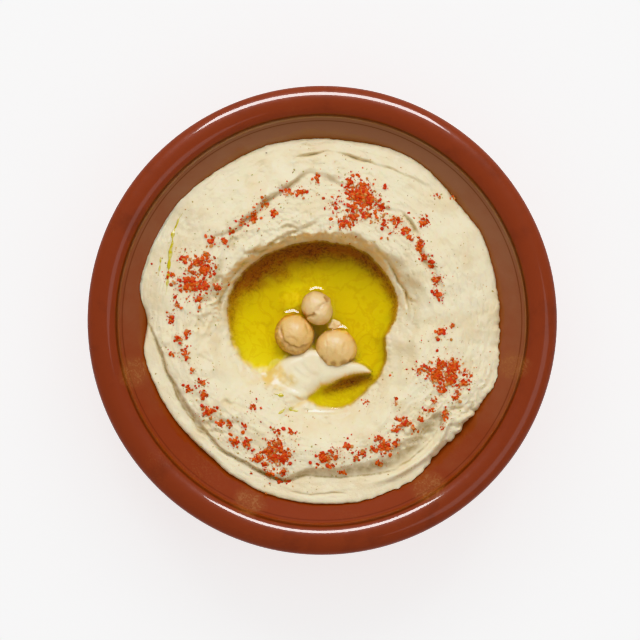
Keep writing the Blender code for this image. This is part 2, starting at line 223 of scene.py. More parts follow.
# Chickpeas: centre, half sizes, turn about the vertical in degrees, paleness, then, from the centre,
# lobes (x, y, reach, rise) and folds of the skin (depth, width, darkness, darkness outside, points)
CHICKPEAS = {
    "chickpea_top": ((-1.6, 3.9, 25.4), (4.8, 5.5, 4.7), 27.0, 0.85,
                     ((-0.8, 2.2, 3.0, 0.35), (1.6, -2.5, 2.4, 0.45), (3.4, 2.6, 1.0, 0.5)),
                     ((0.6, 0.6, 0.75, 0.0, ((-5.2, -1.2), (-3.6, -2.5), (-1.6, -2.3), (-0.4, -1.2))),
                      (0.35, 0.6, 0.3, 0.0, ((-1.0, -1.6), (0.3, -0.3), (1.4, 0.9), (2.8, 1.3), (4.4, 1.2))),
                      (0.35, 0.45, 0.9, 0.0, ((2.2, 4.0), (2.9, 2.8), (3.3, 1.6))))),
    "chickpea_left": ((-8.8, -4.5, 24.2), (6.2, 6.4, 5.7), 20.0, 0.25,
                      ((0.2, 1.4, 3.6, 0.45), (-4.6, -1.0, 1.6, 0.3), (0.5, -5.0, 1.8, 0.3)),
                      ((0.5, 0.5, 0.7, 0.4, ((-4.3, 4.3), (-4.4, 1.5), (-3.6, -1.4), (-1.9, -3.3), (1.2, -4.2),
                                          (3.6, -3.6), (5.4, -2.2))),
                       (0.15, 0.5, 0.2, 0.0, ((-3.4, -0.6), (-0.8, -1.0), (1.4, -2.2))),
                       (0.2, 0.4, 0.3, 0.0, ((3.2, 3.4), (4.2, 1.8), (4.4, 0.0))),
                       (0.3, 0.35, 0.5, 0.0, ((-4.9, -2.6), (-3.4, -4.2), (-1.2, -5.3), (1.4, -5.6))))),
    "chickpea_right": ((4.5, -8.9, 23.9), (6.6, 6.0, 5.6), -10.0, 0.5,
                       ((-1.0, 1.6, 3.4, 0.3), (-2.8, -4.4, 1.2, 0.3), (0.4, -4.9, 1.2, 0.35), (3.4, -4.0, 1.2, 0.3)),
                       ((0.14, 0.4, 0.15, 0.0, ((-3.4, 3.2), (-3.0, 0.6), (-3.2, -2.2))),
                        (0.14, 0.4, 0.15, 0.0, ((-0.6, 3.0), (-0.4, 0.4), (-0.9, -2.4))),
                        (0.14, 0.4, 0.15, 0.0, ((2.6, 2.4), (2.6, 0.2), (1.8, -2.2))),
                        (0.3, 0.7, 0.6, 0.0, ((-5.4, -2.6), (-4.0, -4.0), (-2.6, -5.0))),
                        (0.3, 0.7, 0.65, 0.0, ((-1.8, -5.2), (-0.8, -4.8), (0.0, -5.4))),
                        (0.3, 0.7, 0.65, 0.0, ((1.2, -5.5), (2.4, -4.6), (4.2, -4.6), (5.4, -3.0))))),
}
# Where the oil climbs each chickpea most: direction and spread, in degrees
MENISCUS = {"chickpea_top": (88.0, 46.0), "chickpea_left": (103.0, 32.0), "chickpea_right": (66.0, 24.0)}
# A loose bit of skin between two of them: centre and half sizes
SKIN_BIT = ((4.0, -1.5, 24.9), (1.9, 1.4, 0.9))

# Where the paprika fell: x, y, half sizes of the patch and how many grains
PAPRIKA = (
    (-39.6, 18.2, 2.0, 1.4, 34), (-36.8, 16.4, 1.4, 1.6, 26), (-42.1, 11.2, 2.6, 1.6, 60),
    (-37.4, 11.0, 1.2, 1.0, 18), (-33.5, 10.6, 0.8, 0.7, 14), (-39.7, 6.6, 1.0, 1.2, 16),
    (-48.0, 14.7, 0.9, 0.8, 9), (-44.2, 19.8, 1.0, 0.9, 12), (-46.2, 5.0, 0.8, 1.0, 9),
    (-48.5, 0.4, 0.9, 1.3, 13), (-37.0, 20.4, 1.2, 1.2, 8), (-41.0, 14.6, 3.6, 3.6, 34),
    (-35.5, 25.2, 1.0, 0.7, 8), (-31.2, 25.4, 0.9, 0.9, 13), (-28.9, 28.7, 0.7, 0.6, 6),
    (-25.8, 31.4, 0.8, 0.8, 7), (-21.9, 33.2, 1.2, 1.4, 24), (-18.7, 37.6, 0.8, 1.4, 10),
    (-15.3, 34.5, 0.8, 0.8, 9), (-11.6, 41.4, 1.4, 0.8, 10), (-7.0, 41.0, 1.6, 0.7, 20),
    (-1.9, 45.2, 0.7, 0.9, 6), (8.8, 44.0, 1.2, 1.6, 22), (10.9, 40.4, 2.2, 1.8, 68),
    (15.2, 38.8, 1.9, 1.5, 44), (13.4, 43.0, 1.6, 1.2, 18), (9.6, 33.0, 1.5, 1.2, 26),
    (7.2, 30.8, 1.5, 1.0, 24), (14.6, 33.7, 1.2, 1.0, 16), (18.8, 36.3, 1.2, 0.9, 14),
    (10.2, 36.5, 1.0, 1.0, 9), (3.8, 36.5, 2.0, 2.2, 12), (20.1, 42.9, 0.6, 0.6, 4),
    (37.0, 40.1, 0.6, 0.5, 4), (42.0, 39.6, 0.6, 0.7, 4), (13.0, 38.0, 5.0, 4.6, 44),
    (19.8, 31.6, 1.2, 1.3, 12), (24.0, 32.0, 1.5, 0.9, 12), (26.7, 28.9, 0.8, 0.7, 10),
    (32.7, 31.4, 1.0, 1.1, 18), (27.9, 26.6, 0.7, 0.6, 5), (31.3, 23.9, 0.8, 1.3, 20),
    (32.6, 20.0, 0.9, 0.9, 12), (35.4, 18.4, 0.7, 1.0, 9), (36.9, 13.1, 1.5, 1.3, 15),
    (37.2, 8.6, 1.3, 1.6, 15), (23.0, 29.0, 3.0, 2.0, 8), (37.8, -3.6, 1.2, 0.9, 15),
    (41.9, -1.6, 0.6, 0.5, 4), (38.6, -13.8, 1.4, 0.9, 18), (42.0, -15.0, 1.2, 2.0, 46),
    (36.9, -17.4, 1.8, 1.6, 40), (41.0, -18.8, 1.6, 1.5, 28), (45.4, -19.9, 1.8, 0.9, 24),
    (38.4, -21.8, 1.4, 1.2, 14), (39.5, -17.0, 4.4, 4.0, 44), (31.4, -15.8, 1.4, 1.6, 11),
    (43.0, -24.6, 0.7, 1.4, 9), (46.4, -16.6, 1.2, 1.0, 5), (35.4, -25.9, 0.8, 0.8, 6),
    (34.1, -28.7, 1.2, 0.6, 7), (39.4, -29.9, 0.9, 1.0, 11), (31.8, -31.4, 0.8, 0.8, 8),
    (26.7, -33.0, 0.9, 1.1, 14), (29.5, -34.9, 0.6, 0.6, 6), (23.7, -34.6, 1.2, 0.8, 7),
    (38.9, -34.0, 0.6, 0.6, 4), (24.0, -31.4, 1.0, 0.7, 6), (14.2, -26.0, 1.0, 0.6, 5),
    (23.6, -26.9, 0.6, 0.7, 4), (20.0, -40.6, 1.8, 1.5, 46), (16.4, -41.4, 0.8, 0.8, 9),
    (23.4, -39.2, 1.1, 0.7, 11), (18.2, -37.8, 0.9, 0.6, 6), (18.5, -45.5, 0.9, 0.7, 7),
    (12.6, -42.4, 1.1, 0.9, 14), (7.9, -40.0, 0.9, 0.9, 11), (10.5, -44.0, 0.7, 0.6, 6),
    (0.7, -43.8, 1.9, 1.3, 40), (2.7, -46.6, 1.1, 0.9, 10), (6.4, -48.6, 0.9, 0.5, 5),
    (4.6, -42.2, 2.4, 2.0, 12), (-14.4, -39.6, 1.8, 1.2, 28), (-12.2, -43.2, 1.6, 1.6, 34),
    (-15.6, -43.6, 1.9, 1.6, 30), (-20.6, -44.2, 1.1, 1.1, 20), (-17.4, -41.2, 1.2, 1.0, 12),
    (-16.6, -49.2, 1.0, 0.7, 12), (-12.2, -48.8, 0.9, 0.8, 12), (-11.6, -51.4, 1.6, 0.7, 8),
    (-15.4, -43.4, 3.8, 3.6, 44), (-27.9, -38.9, 1.1, 0.8, 15), (-23.9, -39.6, 0.8, 1.2, 14),
    (-10.1, -35.8, 1.1, 0.8, 6), (-14.2, -35.2, 1.8, 1.0, 6), (-29.4, -33.3, 0.7, 0.7, 8),
    (-32.5, -33.0, 0.8, 0.7, 6), (-25.1, -33.6, 0.6, 0.6, 5), (-36.6, -29.2, 1.6, 1.1, 26),
    (-37.9, -23.8, 0.9, 1.1, 14), (-38.3, -19.7, 1.1, 0.7, 13), (-42.6, -22.1, 0.8, 0.7, 8),
    (-22.0, -27.6, 0.8, 1.2, 8), (-43.7, -10.4, 0.8, 1.4, 12), (-46.2, -5.8, 0.8, 1.3, 11),
    (-43.1, -4.0, 0.6, 0.7, 6), (-48.2, -10.7, 0.5, 0.5, 4), (-41.6, -16.0, 0.5, 0.4, 3),
)

# How much wider the stray grains of a patch are spread
STRAY = 2.2

# Threads and dabs of oil on the hummus: width, then points
OIL_THREADS = (
    (1.3, ((-44.6, 34.6), (-46.2, 31.4), (-47.6, 28.0), (-48.1, 24.0), (-48.7, 20.4), (-49.1, 16.1),
           (-49.5, 11.8), (-49.9, 8.0))),
    (0.8, ((-51.6, 20.4), (-51.9, 17.2), (-52.6, 14.2))),
    (1.5, ((-15.6, -23.4), (-14.0, -23.8), (-12.2, -24.1))),
    (1.5, ((-10.6, -28.0), (-9.4, -28.8), (-7.2, -29.0))),
    (1.0, ((-11.6, -27.4), (-12.4, -28.8), (-13.8, -29.9))),
)


# ---------------------------------------------------------------- settings

def length(name, description, default):
    """A length in metres that a user may change."""
    return bpy.props.FloatProperty(name=name, description=description, default=default, min=0.0, unit="LENGTH")


def colour(name, description, default):
    """A linear colour that a user may change."""
    return bpy.props.FloatVectorProperty(
        name=name, description=description, default=default, size=3, min=0.0, max=1.0, subtype="COLOR")


class BowlSettings(bpy.types.PropertyGroup):
    """Sizes and colours of the bowl."""
    rim_radius: length("Rim radius", "From the axis to the outside of the rim", round(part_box("bowl")[1].x, 3))
    height: length("Height", "From the table to the top of the rim", round(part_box("bowl")[1].z, 3))
    bead: length("Bead", "Half width of the rim's rounded bead", 0.0048)
    bead_rise: length("Bead rise", "Half height of the bead", 0.0032)
    glaze: colour("Glaze", "Main colour of the glaze", (0.235, 0.037, 0.010))
    # Painted reflection: a hazy sheen on the inner wall, strongest towards the back
    wall_reflection: colour("Washed glaze", "Colour where the glaze on the wall is hazy", (0.32, 0.137, 0.071))
    # Also painted shade, in the crease under the bead and along the throwing line
    deep_glaze_and_shade: colour("Deep glaze", "Colour where the glaze lies thick", (0.085, 0.013, 0.005))
    clay: colour("Clay", "Colour of the clay where the glaze is thin", (0.36, 0.13, 0.045))


class HeapSettings(bpy.types.PropertyGroup):
    """Sizes and colours of the hummus."""
    segments: bpy.props.IntProperty(name="Segments", description="Steps round the heap", default=620, min=60)
    rings: bpy.props.IntProperty(name="Rings", description="Steps across the ring of hummus", default=112, min=10)
    well_rings: bpy.props.IntProperty(name="Well rings", description="Steps across the well", default=32, min=8)
    cream: colour("Cream", "Main colour of the hummus", (0.87, 0.78, 0.55))
    warm: colour("Warm", "Colour of its warmer patches", (0.80, 0.67, 0.42))
    shade: colour("Shade", "Colour down in its cracks", (0.42, 0.29, 0.10))
    # The stain colour is also painted shade, on faces turned away from the window light
    stain_and_shade: colour("Stain", "Colour of its steep, oily faces", (0.90, 0.58, 0.26))


class OilSettings(bpy.types.PropertyGroup):
    """Level and colours of the oil."""
    level: length("Level", "Height of the oil's surface", round(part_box("olive_oil")[1].z, 4))
    climb: length("Climb", "How far the oil climbs a chickpea", 0.0016)
    reach: length("Reach", "How far from a chickpea the surface is lifted", 0.0018)
    tint: colour("Tint", "Colour that the oil lends to the paste under it", (0.68, 0.60, 0.004))
    # Painted shade: the amber and its dark specks colour the bank's shadow under the oil and a line along the shore;
    # the amber also draws fine lines there
    amber: colour("Amber", "Colour of the paste that it has soaked", (0.40, 0.120, 0.001))
    amber_dark: colour("Dark amber", "Colour of the specks in the soaked paste", (0.10, 0.026, 0.001))
    film: colour("Film", "Colour of the paste under thin oil", (0.78, 0.56, 0.18))
    haze: colour("Haze", "Colour of the pale haze in the oil", (0.80, 0.72, 0.22))


class ChickpeaSettings(bpy.types.PropertyGroup):
    """Form and colours of the chickpeas."""
    lobes: bpy.props.FloatProperty(name="Lobes", description="Rise of the lobes, as a part of the usual", default=1.0)
    folds: bpy.props.FloatProperty(name="Folds", description="Depth of the folds, as a part of the usual", default=1.0)
    flesh: colour("Flesh", "Main colour of the skin", (0.82, 0.52, 0.17))
    # Also the colour of the painted sheen on the side towards the window light
    pale: colour("Pale", "Colour of its lightest patches", (0.86, 0.64, 0.33))
    # The amber low on the sides is painted shade
    amber: colour("Amber", "Colour low on its sides", (0.58, 0.25, 0.04))
    brown: colour("Brown", "Colour in the folds", (0.37, 0.145, 0.03))


class SpiceSettings(bpy.types.PropertyGroup):
    """Size and colours of the paprika and of the fine specks."""
    grain_small: length("Smallest grain", "Size of the finest paprika", 0.0003)
    grain_large: length("Largest grain", "Size of the coarsest paprika", 0.0015)
    amount: bpy.props.FloatProperty(name="Amount", description="Paprika, as a part of the usual", default=3.8, min=0.0)
    spread: bpy.props.FloatProperty(name="Spread", description="Width of each patch of paprika, as a part of its size",
                                    default=0.6, min=0.0)
    red: colour("Red", "Main colour of the paprika", (0.60, 0.032, 0.003))
    orange: colour("Orange", "Colour of its lighter grains", (0.72, 0.12, 0.010))
    brown: colour("Brown", "Colour of its darkest grains", (0.13, 0.012, 0.004))
    specks: bpy.props.IntProperty(name="Specks", description="How many fine specks", default=1500, min=0)
    seed: bpy.props.IntProperty(name="Seed", description="Start of the random scatter", default=7, min=0)


class StageSettings(bpy.types.PropertyGroup):
    """Camera, floor and lights."""
    distance: length("Camera distance", "From the camera to the rim", 3.0)
    view_width: length("View width", "Width of what the camera sees at the rim", 0.2042)
    key: bpy.props.FloatProperty(name="Key light", description="Power of the window light", default=7.5,
                                 min=0.0, unit="POWER")
    glint: bpy.props.FloatProperty(name="Glint", description="Power of the window as glossy faces mirror it",
                                   default=21.0, min=0.0, unit="POWER")
    sky: bpy.props.FloatProperty(name="Sky", description="Strength of the light from all round", default=0.56, min=0.0)


class HummusBowlSettings(bpy.types.PropertyGroup):
    """Everything that a user would change."""
    bowl: bpy.props.PointerProperty(type=BowlSettings)
    heap: bpy.props.PointerProperty(type=HeapSettings)
    oil: bpy.props.PointerProperty(type=OilSettings)
    chickpea: bpy.props.PointerProperty(type=ChickpeaSettings)
    spice: bpy.props.PointerProperty(type=SpiceSettings)
    stage: bpy.props.PointerProperty(type=StageSettings)


# ---------------------------------------------------------------- node trees

class Value:
    """A node's output that takes arithmetic: an expression on it adds the Math nodes."""

    def __init__(self, tree, socket):
        self.tree = tree
        self.socket = socket

    def math(self, operation, *terms):
        """One Math node on these terms."""
        return self.tree.node(self.tree.MATH, {"operation": operation}, dict(enumerate(terms)))

    def __add__(self, other):
        return self.math("ADD", self, other)

    def __radd__(self, other):
        return self.math("ADD", other, self)

    def __sub__(self, other):
        return self.math("SUBTRACT", self, other)

    def __rsub__(self, other):
        return self.math("SUBTRACT", other, self)

    def __mul__(self, other):
        return self.math("MULTIPLY", self, other)

    def __rmul__(self, other):
        return self.math("MULTIPLY", other, self)

    def __truediv__(self, other):
        return self.math("DIVIDE", self, other)

    def __pow__(self, other):
        return self.math("POWER", self, other)

    def held(self):
        """The value kept between 0 and 1."""
        return self.tree.node("ShaderNodeClamp", {}, {0: self})

    def between(self, low, high):
        """0 at low, 1 at high and an eased rise between."""
        return self.tree.node("ShaderNodeMapRange", {"interpolation_type": "SMOOTHSTEP"},
                              {"Value": self, "From Min": low, "From Max": high})


class Tree:
    """A node tree being made."""

    MATH = "ShaderNodeMath"

    def __init__(self, tree):
        self.tree = tree

    def node(self, kind, settings=None, values=None, out=0):
        """Adds a node: its settings first, then its sockets' values or links."""
        node = self.tree.nodes.new(kind)
        for name, setting in (settings or {}).items():
            if name == "stops":
                self.fill_ramp(node.color_ramp, setting)
            else:
                setattr(node, name, setting)
        for key, value in (values or {}).items():
            if isinstance(value, Value):
                self.tree.links.new(value.socket, node.inputs[key])
            else:
                node.inputs[key].default_value = value
        return Value(self, node.outputs[out]) if len(node.outputs) else node

    @staticmethod
    def fill_ramp(ramp, stops):
        """Sets a ramp's stops from pairs of place and colour."""
        while len(ramp.elements) < len(stops):
            ramp.elements.new(0.5)
        for element, (place, shade) in zip(ramp.elements, stops):
            element.position = place
            element.color = shade


class Finish(Tree):
    """A material being made, round one Principled shader."""

    def __init__(self, name, **constants):
        self.material = bpy.data.materials.new(name)
        self.material.use_nodes = True
        super().__init__(self.material.node_tree)
        self.shader = self.tree.nodes["Principled BSDF"]
        for key, value in constants.items():
            self.shader.inputs[key.replace("_", " ").title().replace("Ior", "IOR")].default_value = value

    def place(self):
        """Object coordinates, in metres."""
        return self.node("ShaderNodeTexCoord", out="Object")

    def grain(self, scale, detail=3.0, rough=0.55, warp=0.0):
        """Noise between 0 and 1, with features of about one over scale, in metres."""
        return self.node("ShaderNodeTexNoise", {}, {
            "Vector": self.place(), "Scale": scale, "Detail": detail, "Roughness": rough, "Distortion": warp})

    def attribute(self, name):
        """A value that the mesh carries."""
        return self.node("ShaderNodeAttribute", {"attribute_name": name}, out="Fac")

    def blend(self, first, second, factor, kind="MIX"):
        """Two colours mixed by a factor."""
        return self.node("ShaderNodeMix", {"data_type": "RGBA", "blend_type": kind},
                         {0: factor, 6: paint(first), 7: paint(second)}, out=2)

    def relief(self, height, distance, strength=1.0, under=None):
        """A normal from a height, in metres, over an earlier normal."""
        values = {"Height": height, "Distance": distance, "Strength": strength}
        if under is not None:
            values["Normal"] = under
        return self.node("ShaderNodeBump", {}, values)

    def feed(self, **links):
        """Links values to the shader, by its sockets' names."""
        for key, value in links.items():
            self.tree.links.new(value.socket, self.shader.inputs[key.replace("_", " ").title()])
        return self.material


def paint(shade):
    """A colour with its alpha, unless it comes from a node."""
    return shade if isinstance(shade, Value) else (*shade[:3], 1.0)


class Shaper(Tree):
    """A Geometry Nodes tree being made, with named inputs."""

    KINDS = {float: "NodeSocketFloat", int: "NodeSocketInt"}

    def __init__(self, name):
        super().__init__(bpy.data.node_groups.new(name, "GeometryNodeTree"))
        self.tree.interface.new_socket("Geometry", in_out="INPUT", socket_type="NodeSocketGeometry")
        self.tree.interface.new_socket("Geometry", in_out="OUTPUT", socket_type="NodeSocketGeometry")
        self.entry = self.tree.nodes.new("NodeGroupInput")
        self.values = {}

    def geometry(self):
        """What the object holds before the tree."""
        return Value(self, self.entry.outputs["Geometry"])

    def entry_value(self, name, value):
        """A named input of the tree, with the value that this object gives it."""
        socket = self.tree.interface.new_socket(name, in_out="INPUT", socket_type=self.KINDS[type(value)])
        self.values[socket.identifier] = value
        return Value(self, self.entry.outputs[name])

    def carried(self, name):
        """A number that the mesh carries."""
        return self.node("GeometryNodeInputNamedAttribute", {"data_type": "FLOAT"}, {"Name": name})

    def end(self, shape, material):
        """Realizes the instances, sets the material and closes the tree."""
        real = self.node("GeometryNodeRealizeInstances", {}, {"Geometry": shape})
        painted = self.node("GeometryNodeSetMaterial", {}, {"Geometry": real, "Material": material})
        out = self.tree.nodes.new("NodeGroupOutput")
        self.tree.links.new(painted.socket, out.inputs["Geometry"])

    def bake(self, obj):
        """Runs the tree on an object, leaves the plain mesh and no modifier."""
        modifier = obj.modifiers.new("Shape", "NODES")
        modifier.node_group = self.tree
        for identifier, value in self.values.items():
            modifier[identifier] = value
        return applied(obj)


# ---------------------------------------------------------------- meshes

def add_piece(name, mesh):
    """A new object at the origin, in the scene."""
    obj = bpy.data.objects.new(name, mesh)
    bpy.context.scene.collection.objects.link(obj)
    return obj


def applied(obj):
    """Replaces an object's mesh with the one that its modifiers make."""
    bpy.context.view_layer.update()
    graph = bpy.context.evaluated_depsgraph_get()
    mesh = bpy.data.meshes.new_from_object(obj.evaluated_get(graph))
    obj.modifiers.clear()
    obj.data = mesh
    return obj


def settle(obj, slot, *nodes):
    """Gives a finished piece its body and hides the CAD nodes that it stands for; its slot is not used."""
    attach(obj, BODY)
    if nodes:
        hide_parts(*nodes)


def point_mesh(name, points, **carried):
    """A mesh of loose points, in millimetres, that carry numbers."""
    mesh = bpy.data.meshes.new(name)
    mesh.from_pydata([tuple(c * MM for c in point) for point in points], [], [])
    for key, numbers in carried.items():
        carry(mesh, key, numbers)
    return mesh


def carry(mesh, name, numbers):
    """Stores one number for each vertex."""
    layer = mesh.attributes.new(name, "FLOAT", "POINT")
    layer.data.foreach_set("value", np.asarray(numbers, dtype=np.float32).ravel())


def round_grid(name, rings, segments, closed_top=True):
    """A closed mesh from rings of points in millimetres; the first and last rings close to a point."""
    body = np.concatenate([ring for ring in rings[1:-1]])
    points = np.concatenate([rings[0].mean(axis=0)[None], body, rings[-1].mean(axis=0)[None]]) * MM
    count = len(rings) - 2
    here = np.arange(segments)
    after = (here + 1) % segments
    faces = [(0, 1 + a, 1 + b) for a, b in zip(here, after)]
    for ring in range(count - 1):
        low = 1 + ring * segments
        high = low + segments
        faces.extend(zip(low + here, high + here, high + after, low + after))
    last = 1 + (count - 1) * segments
    end = len(points) - 1
    faces.extend(zip([end] * segments, last + after, last + here))
    mesh = bpy.data.meshes.new(name)
    mesh.from_pydata(points.tolist(), [], [tuple(int(i) for i in face) for face in faces])
    mesh.shade_smooth()
    return mesh


# ---------------------------------------------------------------- sculpting, in millimetres

def smooth(value):
    """0 below 0, 1 above 1 and an eased rise between."""
    value = np.clip(value, 0.0, 1.0)
    return value * value * (3 - 2 * value)


def around(numbers, angle):
    """Number at each angle, on a smooth closed curve through evenly spaced ones."""
    numbers = np.asarray(numbers)
    count = len(numbers)
    place = (np.asarray(angle) / math.tau) % 1 * count
    index = place.astype(int) % count
    t = place - np.floor(place)
    before, here, after, beyond = (numbers[(index + k) % count] for k in (-1, 0, 1, 2))
    slope_here = (after - before) / 2
    slope_after = (beyond - here) / 2
    return (here * (2 * t ** 3 - 3 * t * t + 1) + slope_here * (t ** 3 - 2 * t * t + t)
            + after * (3 * t * t - 2 * t ** 3) + slope_after * (t ** 3 - t * t))


def curve_through(points, steps=4):
    """A smooth line through points, each with any number of values."""
    points = [np.array(point, dtype=float) for point in points]
    padded = [2 * points[0] - points[1]] + points + [2 * points[-1] - points[-2]]
    line = []
    for before, here, after, beyond in zip(padded, padded[1:], padded[2:], padded[3:]):
        for step in range(steps):
            t = step / steps
            line.append(0.5 * (2 * here + (after - before) * t
                               + (2 * before - 5 * here + 4 * after - beyond) * t * t
                               + (3 * here - before - 3 * after + beyond) * t ** 3))
    return line + [points[-1]]


def along(line, x, y):
    """Nearest place on a line: signed distance, outwards positive, part of the way, and values there."""
    best = np.full(x.shape, np.inf)
    part = np.zeros(x.shape)
    there = np.zeros(x.shape)
    carried = [np.zeros(x.shape) for _ in line[0][2:]]
    last = len(line) - 1
    for index, (start, end) in enumerate(zip(line, line[1:])):
        dx, dy = end[0] - start[0], end[1] - start[1]
        t = np.clip(((x - start[0]) * dx + (y - start[1]) * dy) / (dx * dx + dy * dy), 0.0, 1.0)
        px, py = start[0] + t * dx, start[1] + t * dy
        distance = np.hypot(x - px, y - py)
        closer = distance < best
        best = np.where(closer, distance, best)
        part = np.where(closer, (index + t) / last, part)
        there = np.where(closer, np.hypot(px, py), there)
        for k, values in enumerate(carried):
            carried[k] = np.where(closer, start[2 + k] + (end[2 + k] - start[2 + k]) * t, values)
    side = np.where(np.hypot(x, y) > there, best, -best)
    return side, part, carried


def lumps(x, y, size, seed, octaves=2):
    """Smooth noise, about -1 to 1, with lumps of a size in millimetres."""
    flat = zip(np.ravel(x) / size, np.ravel(y) / size)
    if octaves == 1:
        values = [noise.noise((a, b, seed)) for a, b in flat]
    else:
        values = [noise.fractal((a, b, seed), 0.9, 2.1, octaves) for a, b in flat]
    return np.array(values).reshape(np.shape(x))


def swirl(radius, angle, turns, across, octaves):
    """Smooth noise drawn out along circles round the axis."""
    points = zip(np.ravel(np.cos(angle) * turns * np.ones_like(radius)),
                 np.ravel(np.sin(angle) * turns * np.ones_like(radius)), np.ravel(radius * across))
    values = [noise.fractal(point, 0.9, 2.1, octaves) for point in points]
    return np.array(values).reshape(np.shape(radius))


def slopes(x, y, z):
    """Slope of a surface of rings: in all, and how much it rises towards +Y."""
    radius = np.hypot(x, y)
    outward = np.gradient(z, axis=0) / np.maximum(np.gradient(radius, axis=0), 1e-6)
    sideways = (np.roll(z, -1, axis=1) - np.roll(z, 1, axis=1)) / np.hypot(
        np.roll(x, -1, axis=1) - np.roll(x, 1, axis=1), np.roll(y, -1, axis=1) - np.roll(y, 1, axis=1))
    return np.hypot(outward, sideways), (outward * y + sideways * x) / radius


def near(line_points, x, y, margin):
    """Which points lie in the box of a stroke, with a margin."""
    xs = [point[0] for point in line_points]
    ys = [point[1] for point in line_points]
    return ((x > min(xs) - margin) & (x < max(xs) + margin)
            & (y > min(ys) - margin) & (y < max(ys) + margin))


def bezier(start, lead_out, lead_in, end, count):
    """Points along a cubic curve, both ends included."""
    t = np.linspace(0.0, 1.0, count + 1)[:, None]
    ends = [np.array(point) for point in (start, lead_out, lead_in, end)]
    weights = ((1 - t) ** 3, 3 * (1 - t) ** 2 * t, 3 * (1 - t) * t * t, t ** 3)
    return [tuple(point) for point in sum(weight * end for weight, end in zip(weights, ends))]


def bead_arc(bowl, first, last, count):
    """Points along the oval section of the rim's bead, by angles in degrees."""
    half_width, half_height = bowl.bead / MM, bowl.bead_rise / MM
    angles = [math.radians(first + (last - first) * step / count) for step in range(count + 1)]
    return [(bowl.rim_radius / MM - half_width + half_width * math.cos(a),
             bowl.height / MM - half_height + half_height * math.sin(a)) for a in angles]


def bowl_inside(bowl, count):
    """Profile of the bowl's inner face, from its floor up to the crease under the bead."""
    crease = bead_arc(bowl, BEAD_ARC[0], BEAD_ARC[0], 1)[0]
    curve = bezier((FLOOR_RADIUS, FLOOR_TOP), (50.0, 8.5), (52.5, 24.6), WALL_FOOT, count)
    wall = [tuple(np.array(WALL_FOOT) + (np.array(crease) - WALL_FOOT) * step / 8) for step in range(1, 9)]
    return curve + wall


def inside_height(radius):
    """Height of the bowl's inner face at each radius."""
    profile = bowl_inside(bpy.context.scene.hummus_bowl.bowl, 40)
    return np.interp(radius, [p[0] for p in profile], [p[1] for p in profile])


